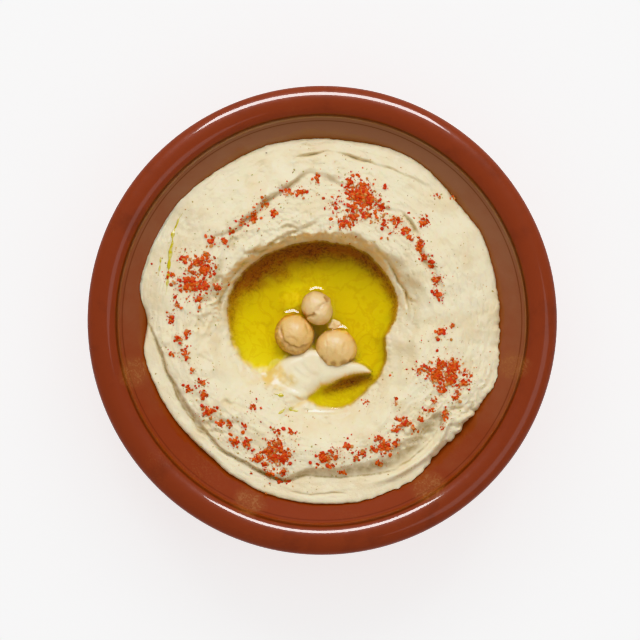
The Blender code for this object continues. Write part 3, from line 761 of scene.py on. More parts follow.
class Heap:
    """The heap's surface: heights and the marks that its material reads."""

    def __init__(self, oil_level):
        self.level = oil_level
        self.tongue = curve_through(TONGUE)
        self.foot = curve_through(LIP_FOOT, 3)

    def outline(self, angle):
        """Radii of the oil's shore and of the outer edge, ragged on the near right."""
        turn = np.degrees(angle) % 360
        ragged = smooth((turn - 285) / 20) + smooth((12 - turn) / 12) * (turn < 180)
        circle = (np.cos(angle) * 57, np.sin(angle) * 57)
        edge = around(OUTER_EDGE, angle)
        edge = edge + (0.2 + 0.55 * ragged) * lumps(*circle, 2.4, 3.1, 3) + 0.25 * lumps(*circle, 7.0, 8.4, 1)
        shore = around(SHORE, angle) + 0.2 * lumps(circle[0] / 2.2, circle[1] / 2.2, 4.0, 5.7, 1)
        return shore, edge

    def over_oil(self, x, y):
        """Height of the tongue and its shelves over the oil, by the highest of the mounds along them."""
        height = np.full(x.shape, -3.0 * WELL_DEPTH)
        for px, py, rise, half_width in self.tongue:
            away = np.hypot(x - px, y - py) / half_width
            height = np.maximum(height, rise * (1 - away ** 4))
        for depth, width, points in FOLDS:
            side, part, _ = along(curve_through(points), x, y)
            fade = smooth(part / 0.3) * smooth((1 - part) / 0.3)
            height = height - depth * fade * np.exp(-(side / width) ** 2)
        for px, py, depth, reach in SHELVES:
            beyond = np.maximum(np.hypot(x - px, y - py) - reach, 0.0)
            height = np.maximum(height, -depth - beyond)
        return height + 0.12 * lumps(x, y, 3.0, 9.3) * smooth(height / 2 + 1)

    def floor(self, x, y, part):
        """Bottom of the well, with the tongue; part is 0 in the middle and 1 at the shore."""
        mx, my, spread, rise = FLOOR_MOUND
        mound = rise * np.exp(-((x - mx) ** 2 + (y - my) ** 2) / spread ** 2)
        steep = around(BANK_STEEPNESS, np.arctan2(y, x))
        floor = -WELL_DEPTH * (1 - part ** steep) + mound * (1 - part) + 0.35 * lumps(x, y, 6.0, 2.2) * (1 - part)
        both = np.logaddexp(floor / TONGUE_BLEND, self.over_oil(x, y) / TONGUE_BLEND) * TONGUE_BLEND
        return self.level + both

    def soaked(self, x, y):
        """How dark the paste under the oil is, as painted shade: the bank's shadow, most at the shore, and the
        tongue's shadow below it.
        """
        angle = np.arctan2(y, x)
        shore, _ = self.outline(angle)
        inwards = np.maximum(shore - np.hypot(x, y), 0.0)
        reach = around(SHADE_REACH, angle) * (1 + 0.35 * lumps(x, y, 5.0, 44.2))
        band = around(SHADE_STRENGTH, angle) * np.exp(-(inwards / reach) ** 3)
        side, _, (reach, strength) = along(curve_through(TONGUE_SHADE), x, y)
        return np.clip(np.maximum(band, strength * np.exp(-(side / reach) ** 2)), 0.0, 1.0)

    def film(self, x, y):
        """How much thin oil tints the paste."""
        total = np.zeros(x.shape)
        for width, strength, points in FILM:
            total = np.maximum(total, strength * self.trail(x, y, width, points))
        return total * np.clip(0.9 + 1.2 * lumps(x, y, 1.6, 17.2), 0.0, 1.0)

    def gloss(self, x, y, height):
        """Height with the glossy paste sloped along its lines, and how wet it is there."""
        wet = np.zeros(x.shape)
        for width, first, last, points in GLOSS:
            side, part, _ = along(curve_through(points), x, y)
            there = self.trail(x, y, width, points)
            target = first + (last - first) * part + GLOSS_SLOPE * side
            height = height + there * (target - height)
            wet = np.maximum(wet, there)
        return height, wet

    @staticmethod
    def trail(x, y, width, points):
        """1 along a line through points, fading out over a width and at the ends."""
        side, part, _ = along(curve_through(points), x, y)
        return smooth(part / 0.2) * smooth((1 - part) / 0.2) * np.exp(-(side / width) ** 4)

    def strokes(self, x, y):
        """Height that the spoon's strokes add, and how deep in a furrow each point is, for the oil and painted shade
        in the cracks.
        """
        height = np.zeros(x.shape)
        crack = np.zeros(x.shape)
        for depth, width, rise, reach, points in STROKES:
            margin = 4 * width + 3 * reach
            close = near(points, x, y, margin)
            if not close.any():
                continue
            side, part, _ = along(curve_through(points), x[close], y[close])
            side = side + 0.5 * width * lumps(x[close], y[close], 2.4, 4.4) + 0.5 * lumps(x[close], y[close], 6.0, 1.9)
            fade = smooth(part / 0.18) * smooth((1 - part) / 0.18) * (0.75 + 1.1 * lumps(x[close], y[close], 6.0, 3.6, 1))
            furrow = np.exp(-(side / width) ** 2)
            outer = 0.5 * (1 + np.tanh((side - 0.6 * width) / (0.8 * width))) * np.exp(-np.maximum(side, 0) / reach)
            height[close] += STROKE_DEPTH * fade * (rise * outer - depth * furrow)
            crack[close] = np.maximum(crack[close], fade * furrow * min(depth, 1.0))
        for rise, width, points in RIDGES:
            close = near(points, x, y, 3 * width)
            side, part, _ = along(curve_through(points), x[close], y[close])
            fade = smooth(part / 0.25) * smooth((1 - part) / 0.25)
            height[close] += rise * fade * np.exp(-(side / width) ** 2)
        return height, crack

    def lip(self, x, y):
        """Drop to the low lip, how far each point is on it, and on the face and at the foot above it."""
        side, part, (drop, width) = along(self.foot, x, y)
        side = side + 0.35 * lumps(x, y, 3.0, 6.6)
        on_lip = 1 - smooth(-side / width)
        there = smooth(drop / 1.5)
        face = 4 * on_lip * (1 - on_lip) * there
        foot = np.exp(-((side + 0.1) / 0.35) ** 2) * there
        return drop * on_lip - LIP_TILT * np.clip(side, 0.0, 9.0) * there, on_lip * there, face, foot

    def texture(self, x, y, radius, angle):
        """Undulation, streaks and creases of the spoon, torn lumps and the paste's own grain."""
        broad = 0.45 * lumps(x, y, 13.0, 1.3) + 0.32 * lumps(x, y, 5.5, 7.9)
        streaks = 0.2 * swirl(radius, angle, 7.0, 0.6, 3)
        crease = np.exp(-(swirl(radius + 200, angle, 6.5, 0.42, 2) / 0.045) ** 2)
        crease = crease * smooth(lumps(x, y, 8.0, 21.7, 1) * 3)
        grain = 0.09 * lumps(x, y, 1.3, 12.7, 2)
        torn = sum(rise * np.exp(-((x - px) ** 2 + (y - py) ** 2) / reach ** 2) for px, py, reach, rise in ROUGH)
        torn = torn * (0.8 - 2.0 * np.abs(lumps(x, y, 2.8, 15.5, 3)))
        return broad + streaks + grain + torn - 0.22 * crease, crease

    def height(self, x, y):
        """Height of the top at each x and y, the oil and painted shade in its cracks and on the lip's face, and the
        wetness there.
        """
        radius = np.hypot(x, y)
        angle = np.arctan2(y, x)
        shore, edge = self.outline(angle)
        inner = np.minimum(radius / shore, 1.0)
        part = np.clip((radius - shore) / (edge - shore), 0.0, 1.0)
        base = self.floor(x, y, inner)
        stroke, crack = self.strokes(x, y)
        drop, on_lip, face, foot = self.lip(x, y)
        fall = CREST_FALL * (part - CREST_PLACE) ** 2
        fall = fall + (np.minimum(fall, LIP_FALL) - fall) * on_lip
        top = around(CREST, angle) - fall - drop
        torn = smooth((np.cos(angle - 2.1) - 0.2) / 0.6)
        bank = around(BANK_WIDTH, angle) * (1 + 0.2 * lumps(x, y, 5.0, 13.3, 1) + 0.45 * torn * lumps(x, y, 3.0, 23.3))
        past = np.maximum(radius - shore, 0.0)
        climb = np.clip(past / bank, 0.0, 1.0)
        rise = 0.6 * np.sin(math.pi / 2 * climb) + 0.4 * smooth(climb)
        texture, crease = self.texture(x, y, radius, angle)
        texture = texture * (1 - 0.55 * on_lip)
        shore_lumps = 0.7 * np.exp(-((radius - shore) / 2.0) ** 2) * lumps(x, y, 2.2, 5.7, 3)
        sunk = np.exp(-np.maximum(base - self.level, 0.0) / 0.4)
        shore_lumps = shore_lumps * sunk
        brim = SHORE_RISE * (1 - np.exp(-past / SHORE_ROUND)) * (1 - rise) * sunk + shore_lumps
        keep = 0.25 + 0.75 * smooth(past / 1.6)
        texture = texture + 1.8 * torn * (0.25 - np.abs(lumps(x, y * 1.6, 3.4, 40.3, 3))) * 4 * rise * (1 - rise)
        body = base + (top - base) * rise + (stroke + texture) * keep + brim
        contact = inside_height(edge) + 0.3
        inset = 1 - np.clip((edge - radius) / EDGE_ROUND, 0.0, 1.0)
        round_off = np.sqrt(np.maximum(1 - inset * inset, 0.0))
        height = np.where(radius > shore, contact + (body - contact) * round_off, base + 0.25 * texture + shore_lumps)
        wet = np.exp(-np.maximum(height - self.level, 0) / 1.2) * (radius < shore + bank)
        height, glossy = self.gloss(x, y, height)
        wet = np.maximum(wet, glossy)
        # Oil and painted shade: dark in the furrows and creases, on the lip's face turned from the window light and in
        # the narrow foot below it
        crack = np.maximum.reduce([crack, 0.3 * crease, 0.55 * face * (1 + 0.5 * lumps(x, y, 1.8, 61.0)), 0.95 * foot])
        return height, crack * smooth(past / 1.6), wet


# ---------------------------------------------------------------- finishes

def glazed_terracotta(bowl):
    """Clear-glazed red clay: mottled, thin in patches, bare underneath, with a painted reflection on the inner wall
    and painted shade in the crease under the bead.
    """
    finish = Finish("glazed_terracotta", coat_weight=1.0, coat_roughness=0.06, coat_ior=1.5, specular_ior_level=0.15)
    place = finish.place()
    split = finish.tree.nodes.new("ShaderNodeSeparateXYZ")
    finish.tree.links.new(place.socket, split.inputs[0])
    x, y, z = (Value(finish, output) for output in split.outputs)
    mottle = finish.grain(90.0, 4.0, 0.6)
    fine = finish.grain(1500.0, 2.0, 0.7)
    body = finish.blend(bowl.glaze, bowl.deep_glaze_and_shade, (mottle.between(0.5, 0.8) * 0.35).held())
    radius = (x ** 2.0 + y ** 2.0) ** 0.5
    inside = z.between(27.2 * MM, 28.0 * MM)
    wall = (1 - radius.between(65.2 * MM, 65.9 * MM)) * inside
    # Painted reflection on the inner wall, stronger towards +Y
    painted_reflection = (((x * 0.2 + y) / (100 * MM) + 0.46 + (mottle - 0.5) * 0.6).held() * wall).held()
    body = finish.blend(body, (0.25, 0.036, 0.007), wall)
    body = finish.blend(body, bowl.wall_reflection, painted_reflection)
    # Painted shade: dark lines in the crease under the bead and, fainter, along the throwing line
    line = (ring_line(radius, 65.7, 0.45) + ring_line(radius, 63.9, 0.22) * 0.6).held() * inside
    body = finish.blend(body, bowl.deep_glaze_and_shade, line * 0.85)
    thin = None
    for px, py, size in ((-60.0, -16.6, 6.0), (-23.0, -58.4, 6.5), (33.7, -53.7, 7.0), (61.0, -14.4, 6.0)):
        away = ((x - px * MM) ** 2.0 + (y - py * MM) ** 2.0) ** 0.5
        spot = (1 - (away + (mottle - 0.5) * 0.006).between(size * 0.3 * MM, size * MM)).held()
        thin = spot if thin is None else thin.math("MAXIMUM", thin, spot)
    speckle = fine.between(0.45, 0.7)
    scratch = finish.grain(420.0, 3.0, 0.7, 1.5).between(0.5, 0.6)
    body = finish.blend(body, bowl.clay, (thin * inside * (0.3 + speckle * 0.3 + scratch * 0.5)).held())
    body = finish.blend(body, bowl.clay, (speckle * finish.grain(40.0).between(0.55, 0.75) * 0.3).held())
    bare = 1 - z.between(0.0008, 0.0016)
    body = finish.blend(body, (0.42, 0.15, 0.06), bare)
    rough = finish.grain(300.0, 3.0) * 0.12 + 0.30 + bare * 0.4
    peel = finish.relief(finish.grain(260.0, 2.0, 0.5), 0.00022, 0.5)
    peel = finish.relief(fine, 0.00005, 0.35, peel)
    coat = ((1 - bare) * (1 - line * 0.9)).held()
    return finish.feed(base_color=body, roughness=rough, coat_weight=coat, normal=peel)


def ring_line(radius, place, width):
    """A soft line round the axis, at a radius and with a width in millimetres."""
    away = ((radius - place * MM) / (width * MM)) ** 2.0
    return (1 - away).held()


def hummus_paste(heap, oil):
    """Smooth paste with fine grain, glossy where oil wets it, tan with oil and painted shade in its cracks, and
    painted shade on faces turned from the light and under the oil.
    """
    finish = Finish("hummus_paste", subsurface_weight=0.2, subsurface_radius=(1.0, 0.55, 0.25),
                    subsurface_scale=0.0014, ior=1.4, coat_roughness=0.08, coat_ior=1.47)
    tone = finish.grain(120.0, 4.0, 0.55)
    body = finish.blend(heap.cream, heap.warm, tone.between(0.42, 0.72) * 0.8)
    flecks = finish.grain(900.0, 2.0, 0.6).between(0.60, 0.74)
    body = finish.blend(body, heap.warm, flecks * 0.5)
    blotch = finish.grain(330.0, 3.0, 0.6).between(0.34, 0.6) * 0.55 + 0.45
    # Oil stain and painted shade: tan on faces turned away from the window light, and on steep faces near the well
    body = finish.blend(body, heap.stain_and_shade, (finish.attribute("steep") * blotch * 0.9).held())
    patchy = finish.grain(420.0, 3.0, 0.6).between(0.3, 0.65) * 0.8 + 0.2
    # Oil and painted shade in the cracks, on the lip's face and at its foot
    body = finish.blend(body, heap.shade, (finish.attribute("crack") * patchy).held())
    wet = finish.attribute("wet")
    body = finish.blend(body, oil.film, finish.attribute("film"))
    deep = finish.attribute("deep")
    body = finish.blend(body, oil.tint, (deep * 0.93).held())
    body = finish.blend(body, oil.haze, finish.attribute("haze"))
    squiggles = 1 - ((finish.grain(170.0, 3.0, 0.5, 1.2) - 0.5) * 22.0) ** 2.0
    body = finish.blend(body, oil.amber, (squiggles.held() * deep * 0.16).held())
    # Painted shade under the oil: the bank's shadow and the tongue's, mottled and specked, and a dark line along the
    # shore
    speckle = finish.grain(1300.0, 2.0, 0.7).between(0.35, 0.65) * 0.5 + 0.6
    soaked = finish.attribute("soaked") * deep
    body = finish.blend(body, oil.amber, (soaked * (finish.grain(350.0, 3.0, 0.6) * 0.5 + 0.5 + speckle * 0.4)).held())
    dark = finish.grain(1100.0, 3.0, 0.7).between(0.46, 0.6) * finish.grain(200.0).between(0.35, 0.55)
    body = finish.blend(body, oil.amber_dark, (soaked * dark * 0.8).held())
    body = finish.blend(body, oil.amber, (finish.attribute("brink") * speckle).held())
    rough = (0.58 - wet * 0.25 + (finish.grain(700.0) - 0.5) * 0.16).held()
    dry = 1 - wet * 0.8
    relief = finish.relief(finish.grain(800.0, 4.0, 0.62) * dry, 0.0003, 0.55)
    relief = finish.relief(finish.grain(2600.0, 2.0, 0.5) * dry, 0.0001, 0.4, relief)
    return finish.feed(base_color=body, roughness=rough, coat_weight=(wet * (1 - deep) * 0.9).held(), normal=relief)


def olive_oil():
    """Clear yellow-green oil."""
    finish = Finish("olive_oil", base_color=(1.0, 0.97, 0.72, 1.0), roughness=0.02, ior=1.47,
                    transmission_weight=1.0)
    out = finish.tree.nodes["Material Output"]
    volume = finish.node("ShaderNodeVolumeAbsorption", {}, {"Color": (0.992, 0.972, 0.03, 1.0), "Density": 380.0})
    finish.tree.links.new(volume.socket, out.inputs["Volume"])
    return finish.material


def chickpea_skin(chickpea):
    """Boiled skin: pale on top with a painted sheen there, and amber low down, as painted shade, and in the cleft."""
    finish = Finish("chickpea_skin", subsurface_weight=0.3, subsurface_radius=(1.0, 0.45, 0.2),
                    subsurface_scale=0.002, coat_weight=0.25, coat_roughness=0.35)
    tone = finish.grain(260.0, 4.0, 0.6)
    body = finish.blend(chickpea.flesh, chickpea.pale, (tone - 0.55 + finish.attribute("pale")).held())
    # Painted shade: amber, stronger low on the sides
    body = finish.blend(body, chickpea.amber, (finish.attribute("low") * 0.8).held())
    body = finish.blend(body, chickpea.brown, (finish.attribute("seam") * 0.85).held())
    freckle = finish.grain(1400.0, 2.0).between(0.62, 0.75)
    body = finish.blend(body, chickpea.amber, freckle * 0.35)
    relief = finish.relief(finish.grain(500.0, 4.0, 0.6, 0.6), 0.0006, 0.6)
    return finish.feed(base_color=body, roughness=finish.grain(400.0) * 0.2 + 0.32, normal=relief)


def paprika_red(spice):
    """Ground paprika: red, with lighter and darker grains."""
    finish = Finish("paprika_red", roughness=0.75)
    pick = finish.attribute("pick")
    body = finish.blend(spice.red, spice.orange, pick.between(0.35, 0.75))
    body = finish.blend(body, spice.brown, pick.between(0.93, 0.97) * 0.45)
    body = finish.blend(body, (0.62, 0.32, 0.09), (1 - pick.between(0.10, 0.18)) * 0.8)
    body = finish.blend(body, spice.brown, finish.grain(2500.0).between(0.62, 0.75) * 0.25)
    return finish.feed(base_color=body, normal=finish.relief(finish.grain(4000.0), 0.00006, 0.6))


def speck_brown():
    """Specks of cumin and herb: brown, olive and grey."""
    finish = Finish("speck_brown", roughness=0.8, specular_ior_level=0.2)
    pick = finish.attribute("pick")
    body = finish.blend((0.52, 0.33, 0.11), (0.50, 0.45, 0.16), pick.between(0.3, 0.5))
    body = finish.blend(body, (0.66, 0.42, 0.17), pick.between(0.6, 0.8))
    body = finish.blend(body, (0.30, 0.17, 0.06), 1 - pick.between(0.06, 0.1))
    return finish.feed(base_color=body, normal=finish.relief(finish.grain(3000.0), 0.00005, 0.5))


def oil_film(oil):
    """Oil in a thin thread or bead on the hummus."""
    finish = Finish("oil_film", roughness=0.06, ior=1.47, subsurface_weight=0.2,
                    subsurface_radius=(1.0, 0.8, 0.2), subsurface_scale=0.001)
    body = finish.blend((0.60, 0.50, 0.03), (0.74, 0.64, 0.22), finish.grain(700.0).between(0.4, 0.65))
    return finish.feed(base_color=body, normal=finish.relief(finish.grain(900.0), 0.0001, 0.3))


# ---------------------------------------------------------------- pieces

def make_bowl(bowl):
    """The bowl, turned by Geometry Nodes from its profile, with faint throwing rings."""
    profile = [(0.0, FLOOR_TOP), (FLOOR_RADIUS / 2, FLOOR_TOP)] + bowl_inside(bowl, 24)[:-1]
    profile += bead_arc(bowl, *BEAD_ARC, 40)
    profile += bezier(NECK, (63.5, 24.0), (58.5, 6.0), (BASE_RADIUS + BASE_CHAMFER, BASE_CHAMFER), 40)
    profile += [(BASE_RADIUS, 0.0), (BASE_RADIUS / 2, 0.0), (0.0, 0.0)]
    mesh = bpy.data.meshes.new("bowl_profile")
    mesh.from_pydata([(r * MM, z * MM, 0.0) for r, z in profile], [(i, i + 1) for i in range(len(profile) - 1)], [])
    obj = add_piece("terracotta_bowl", mesh)
    shaper = Shaper("turned_shape")
    steps = shaper.entry_value("Steps", 200)
    path_radius = shaper.entry_value("Path Radius", 1.0 * MM)
    line = shaper.node("GeometryNodeMeshToCurve", {}, {"Mesh": shaper.geometry()})
    shifted = shaper.node("GeometryNodeTransform", {}, {
        "Geometry": line, "Translation": shaper.node("ShaderNodeCombineXYZ", {}, {"X": 0.0 - path_radius})})
    circle = shaper.node("GeometryNodeCurvePrimitiveCircle", {"mode": "RADIUS"},
                         {"Resolution": steps, "Radius": path_radius})
    turned = shaper.node("GeometryNodeCurveToMesh", {}, {"Curve": circle, "Profile Curve": shifted})
    merged = shaper.node("GeometryNodeMergeByDistance", {}, {"Geometry": turned, "Distance": 0.02 * MM})
    shaper.end(merged, glazed_terracotta(bowl))
    shaper.bake(obj)
    upright(obj.data, bowl.height)
    for vertex in obj.data.vertices:
        throwing_ring(vertex)
    obj.data.shade_smooth()
    settle(obj, "glazed_terracotta", "bowl")


def upright(mesh, top):
    """Makes sure that the turned shape stands on its base with its faces pointing out."""
    highest = max(vertex.co.z for vertex in mesh.vertices)
    if highest < top / 2:
        mesh.transform(Matrix.Scale(-1.0, 4, (0.0, 0.0, 1.0)))
    bm = bmesh.new()
    bm.from_mesh(mesh)
    bmesh.ops.recalc_face_normals(bm, faces=bm.faces)
    bm.to_mesh(mesh)
    bm.free()


def throwing_ring(vertex):
    """Moves a vertex of the wall by the faint rings that the thrower's fingers left."""
    x, y, z = vertex.co / MM
    radius = math.hypot(x, y)
    if radius < 48 or z < 3:
        return
    angle = math.atan2(y, x)
    wobble = noise.noise((math.cos(angle) * 1.5, math.sin(angle) * 1.5, z / 9))
    ripple = 0.09 * noise.noise((z * 0.55, math.cos(angle) * 0.7, math.sin(angle) * 0.7))
    line = 0.16 * math.exp(-((radius - 63.9 - 0.2 * wobble) / 0.35) ** 2) * (z > 27)
    push = 0.12 * wobble + ripple - line
    vertex.co.x += push * math.cos(angle) * MM
    vertex.co.y += push * math.sin(angle) * MM


def make_heap(heap, oil):
    """The swirled hummus with its well, tongue, cracks and low lip."""
    shape = Heap(oil.level / MM)
    angle = np.arange(heap.segments) * math.tau / heap.segments
    shore, edge = shape.outline(angle)
    rings = []
    for step in range(1, heap.well_rings + 1):
        rings.append(shore * (step / heap.well_rings) ** 0.75)
    for step in range(1, heap.rings):
        t = step / heap.rings
        rings.append(shore + (edge - shore) * (1 - (1 - t) ** 1.08))
    radius = np.array(rings)
    x = radius * np.cos(angle)
    y = radius * np.sin(angle)
    z, crack, wet = shape.height(x, y)
    top = np.stack([x, y, z], axis=-1)
    rim = np.stack([edge * np.cos(angle), edge * np.sin(angle), inside_height(edge) + 0.3], axis=-1)
    under = [np.stack([edge * f * np.cos(angle), edge * f * np.sin(angle), inside_height(edge * f) + 0.3], axis=-1)
             for f in (0.94, 0.8, 0.6, 0.3, 0.0)]
    layers = [top[0] * 0 + [0.0, 0.0, 0.0]] + list(top) + [rim] + under
    layers[0][:, 2] = shape.height(np.zeros((1, 1)), np.zeros((1, 1)))[0][0, 0]
    mesh = round_grid("hummus_heap", layers, heap.segments)
    spare = len(under) * heap.segments
    deep = smooth((shape.level - z) / 0.9)
    # Painted shade: a dark line where the oil meets the paste, strongest where the bank's shadow falls
    line = np.where(radius < shore + 0.5, np.exp(-((z - shape.level + 0.1) / 0.3) ** 2), 0.0)
    brink = np.clip(line * (around(SHADE_STRENGTH, np.arctan2(y, x)) + 0.1), 0.0, 1.0)
    hx, hy, half_x, half_y = HAZE
    haze = ((x - hx) / half_x) ** 2 + ((y - hy) / half_y) ** 2 + 0.5 * lumps(x, y, 2.0, 31.0)
    haze = 0.8 * smooth((1.25 - haze) / 0.5)
    # Painted shade: the steep mask is strongest where the paste rises towards +Y, on faces turned away from the window
    # light, and weaker on other steep faces
    slope, away = slopes(x, y, z)
    steep = np.maximum(smooth((away - 0.3) / 0.7), 0.2 * smooth((slope - 0.8) / 0.9))
    steep = steep * smooth((edge - radius) / 2.5 - 0.3) * (1 - 0.85 * shape.lip(x, y)[1])
    steep = steep * (1 - 0.7 * smooth((radius - shore - 2.5) / 2.5))
    for name, numbers, first, fill in (("crack", crack, 0.0, 0.0), ("wet", wet, 1.0, 0.0), ("deep", deep, 1.0, 0.0),
                                       ("steep", steep, 0.0, 0.0), ("soaked", shape.soaked(x, y), 0.0, 0.0),
                                       ("brink", brink, 0.0, 0.0), ("haze", haze, 0.0, 0.0),
                                       ("film", shape.film(x, y), 0.0, 0.0)):
        carry(mesh, name, np.concatenate([[first], numbers.ravel(), np.full(spare, fill), [fill]]))
    obj = add_piece("hummus_heap", mesh)
    mesh.materials.append(hummus_paste(heap, oil))
    settle(obj, "hummus_paste", "hummus")
    return shape


def pea_distance(x, y, pea, level):
    """Distance outside a chickpea's waterline, about, in millimetres."""
    (cx, cy, cz), (a, b, c), turn = pea[:3]
    t = math.radians(turn)
    u = (x - cx) * math.cos(t) + (y - cy) * math.sin(t)
    v = (y - cy) * math.cos(t) - (x - cx) * math.sin(t)
    slice_scale = math.sqrt(max(1 - ((level - cz) / c) ** 2, 0.05))
    reach = np.hypot(u / (a * slice_scale), v / (b * slice_scale))
    return (reach - 1) * (a + b) / 2 * slice_scale


def make_oil(oil, shape):
    """The pool of oil, which climbs a little where it meets the hummus and the chickpeas."""
    segments = 360
    level = oil.level / MM
    angle = np.arange(segments) * math.tau / segments
    shore, _ = shape.outline(angle)
    steps = 132
    radius = np.array([(shore + 1.6) * (step / steps) ** 0.85 for step in range(1, steps + 1)])
    x = radius * np.cos(angle)
    y = radius * np.sin(angle)
    bed, _, _ = shape.height(x, y)
    edge_climb = 0.2
    top = level + edge_climb * np.exp(-np.maximum(level + edge_climb - bed, 0) / 0.5)
    for name, pea in CHICKPEAS.items():
        away = np.maximum(pea_distance(x, y, pea, level), -0.6)
        towards, spread = MENISCUS[name]
        turn = (np.degrees(np.arctan2(y - pea[0][1], x - pea[0][0])) - towards + 180) % 360 - 180
        climb = oil.climb / MM * (0.3 + 0.7 * np.exp(-(turn / spread) ** 2))
        top = np.maximum(top, level + climb * np.exp(-away / (oil.reach / MM)))
    bottom = np.minimum(bed, level) - 0.8
    flat = [np.stack([x[i], y[i], top[i]], axis=-1) for i in range(steps)]
    under = [np.stack([x[i], y[i], bottom[i]], axis=-1) for i in range(steps - 1, -1, -3)]
    centre_top = np.stack([x[0] * 0, y[0] * 0, top[0]], axis=-1)
    centre_low = np.stack([x[0] * 0, y[0] * 0, bottom[0]], axis=-1)
    mesh = round_grid("olive_oil_pool", [centre_top] + flat + under + [centre_low], segments)
    mesh.materials.append(olive_oil())
    obj = add_piece("olive_oil_pool", mesh)
    settle(obj, "olive_oil", "olive_oil")


def make_chickpea(name, pea, chickpea, material):
    """One chickpea: an uneven ball with lobes, and folds where its loose skin creases."""
    centre, half_sizes, turn, paleness, lobes, folds = pea
    mesh = ball(name, 128, 84)
    count = len(mesh.vertices)
    unit = np.zeros(count * 3, dtype=np.float32)
    mesh.vertices.foreach_get("co", unit)
    unit = unit.reshape(count, 3).astype(float)
    t = math.radians(turn)
    spin = np.array([[math.cos(t), -math.sin(t), 0.0], [math.sin(t), math.cos(t), 0.0], [0.0, 0.0, 1.0]])
    place = (unit * half_sizes) @ spin.T
    facing = place / np.linalg.norm(place, axis=1)[:, None]
    x, y = place[:, 0], place[:, 1]
    upper = smooth(unit[:, 2] * 2 + 0.6)
    rise = np.zeros(count)
    seam = np.zeros(count)
    for lx, ly, reach, height in lobes:
        rise += chickpea.lobes * height * upper * np.exp(-((x - lx) ** 2 + (y - ly) ** 2) / reach ** 2)
    wrinkle = lumps(x + sum(centre), y, 1.1, 8.8, 3)
    for depth, width, darkness, outside, points in folds:
        side, part, _ = along(curve_through(points), x, y)
        beyond = outside * smooth(side / 0.8) * upper
        rise += 0.5 * beyond * wrinkle
        seam = np.maximum(seam, beyond * np.clip(0.9 + 1.2 * wrinkle, 0.2, 1.5))
        side = side + 0.45 * lumps(x, y, 1.5, 4.1)
        furrow = np.exp(-(side / width) ** 2) * smooth(part / 0.2) * smooth((1 - part) / 0.2) * upper
        rise -= chickpea.folds * depth * furrow
        seam = np.maximum(seam, darkness * furrow)
    start = sum(centre)
    rise += 0.2 * lumps(x + start, y + unit[:, 2] * 4, 3.2, start)
    rise += 0.06 * lumps(x * 1.3, y + unit[:, 2] * 3, 1.0, start)
    # Painted shade, stronger towards the bottom
    low = np.clip((0.62 - unit[:, 2]) * 1.15, 0.0, 1.0)
    place = (place + facing * rise[:, None] + centre) * MM
    mesh.vertices.foreach_set("co", place.astype(np.float32).ravel())
    mesh.shade_smooth()
    # Pale patches, with a painted sheen on the side towards the window light
    pale = paleness + 0.35 * np.exp(-((x + 0.5) ** 2 + (y - 1.8) ** 2) / 8.0)
    for key, numbers in (("seam", seam), ("low", low), ("pale", pale)):
        carry(mesh, key, numbers)
    mesh.materials.append(material)
    obj = add_piece(name + "_skin", mesh)
    settle(obj, "chickpea", name)


def ball(name, segments, rings):
    """A round mesh with a radius of 1."""
    mesh = bpy.data.meshes.new(name)
    bm = bmesh.new()
    bmesh.ops.create_uvsphere(bm, u_segments=segments, v_segments=rings, radius=1.0)
    bm.to_mesh(mesh)
    bm.free()
    return mesh


def make_skin_bit(material):
    """A loose, crumpled bit of chickpea skin that lies in the oil."""
    centre, half_sizes = SKIN_BIT
    mesh = ball("skin_bit", 40, 24)
    for vertex in mesh.vertices:
        unit = vertex.co.normalized()
        push = 1 + 0.55 * noise.noise(unit * 1.9 + Vector(centre))
        vertex.co = Vector([(c + push * size * u) * MM for c, size, u in zip(centre, half_sizes, unit)])
    mesh.shade_smooth()
    count = len(mesh.vertices)
    for key, value in (("seam", 0.0), ("low", 0.05), ("pale", 1.0)):
        carry(mesh, key, np.full(count, value))
    mesh.materials.append(material)
    settle(add_piece("skin_bit", mesh), "chickpea")


def scatter(name, points, material, small, large, seed, flat=0.55):
    """Grains on points, by Geometry Nodes: uneven lumps, turned and sized at random."""
    rng = random.Random(seed)
    mesh = point_mesh(name, points, pick=[rng.random() for _ in points])
    obj = add_piece(name, mesh)
    shaper = Shaper(name + "_grains")
    smallest = shaper.entry_value("Smallest", float(small))
    largest = shaper.entry_value("Largest", float(large))
    start = shaper.entry_value("Seed", int(seed))
    flatness = shaper.entry_value("Flatness", float(flat))
    lump = shaper.node("GeometryNodeMeshIcoSphere", {}, {"Radius": 0.5, "Subdivisions": 1})
    cloud = shaper.node("GeometryNodeMeshToPoints", {}, {"Mesh": shaper.geometry(), "Radius": 0.0001})
    turn = shaper.node("FunctionNodeRandomValue", {"data_type": "FLOAT_VECTOR"},
                       {0: (0.0, 0.0, 0.0), 1: (0.9, 0.9, math.tau), "Seed": start})
    size = shaper.node("FunctionNodeRandomValue", {"data_type": "FLOAT"},
                       {2: 0.0, 3: 1.0, "Seed": start + 1}, out=1)
    across = smallest + (largest - smallest) * size ** 3.0
    long_side = shaper.node("FunctionNodeRandomValue", {"data_type": "FLOAT"},
                            {2: 0.75, 3: 1.35, "Seed": start + 2}, out=1)
    scale = shaper.node("ShaderNodeCombineXYZ", {}, {"X": across * long_side, "Y": across, "Z": across * flatness})
    grains = shaper.node("GeometryNodeInstanceOnPoints", {},
                         {"Points": cloud, "Instance": lump, "Rotation": turn, "Scale": scale})
    shaper.end(grains, material)
    shaper.bake(obj)
    rough_up(obj.data, (small + large) / 2)
    return obj


def rough_up(mesh, size):
    """Pushes each vertex a little, so that no two grains are alike."""
    for vertex in mesh.vertices:
        push = noise.noise_vector(vertex.co / size * 1.7)
        vertex.co += push * size * 0.16


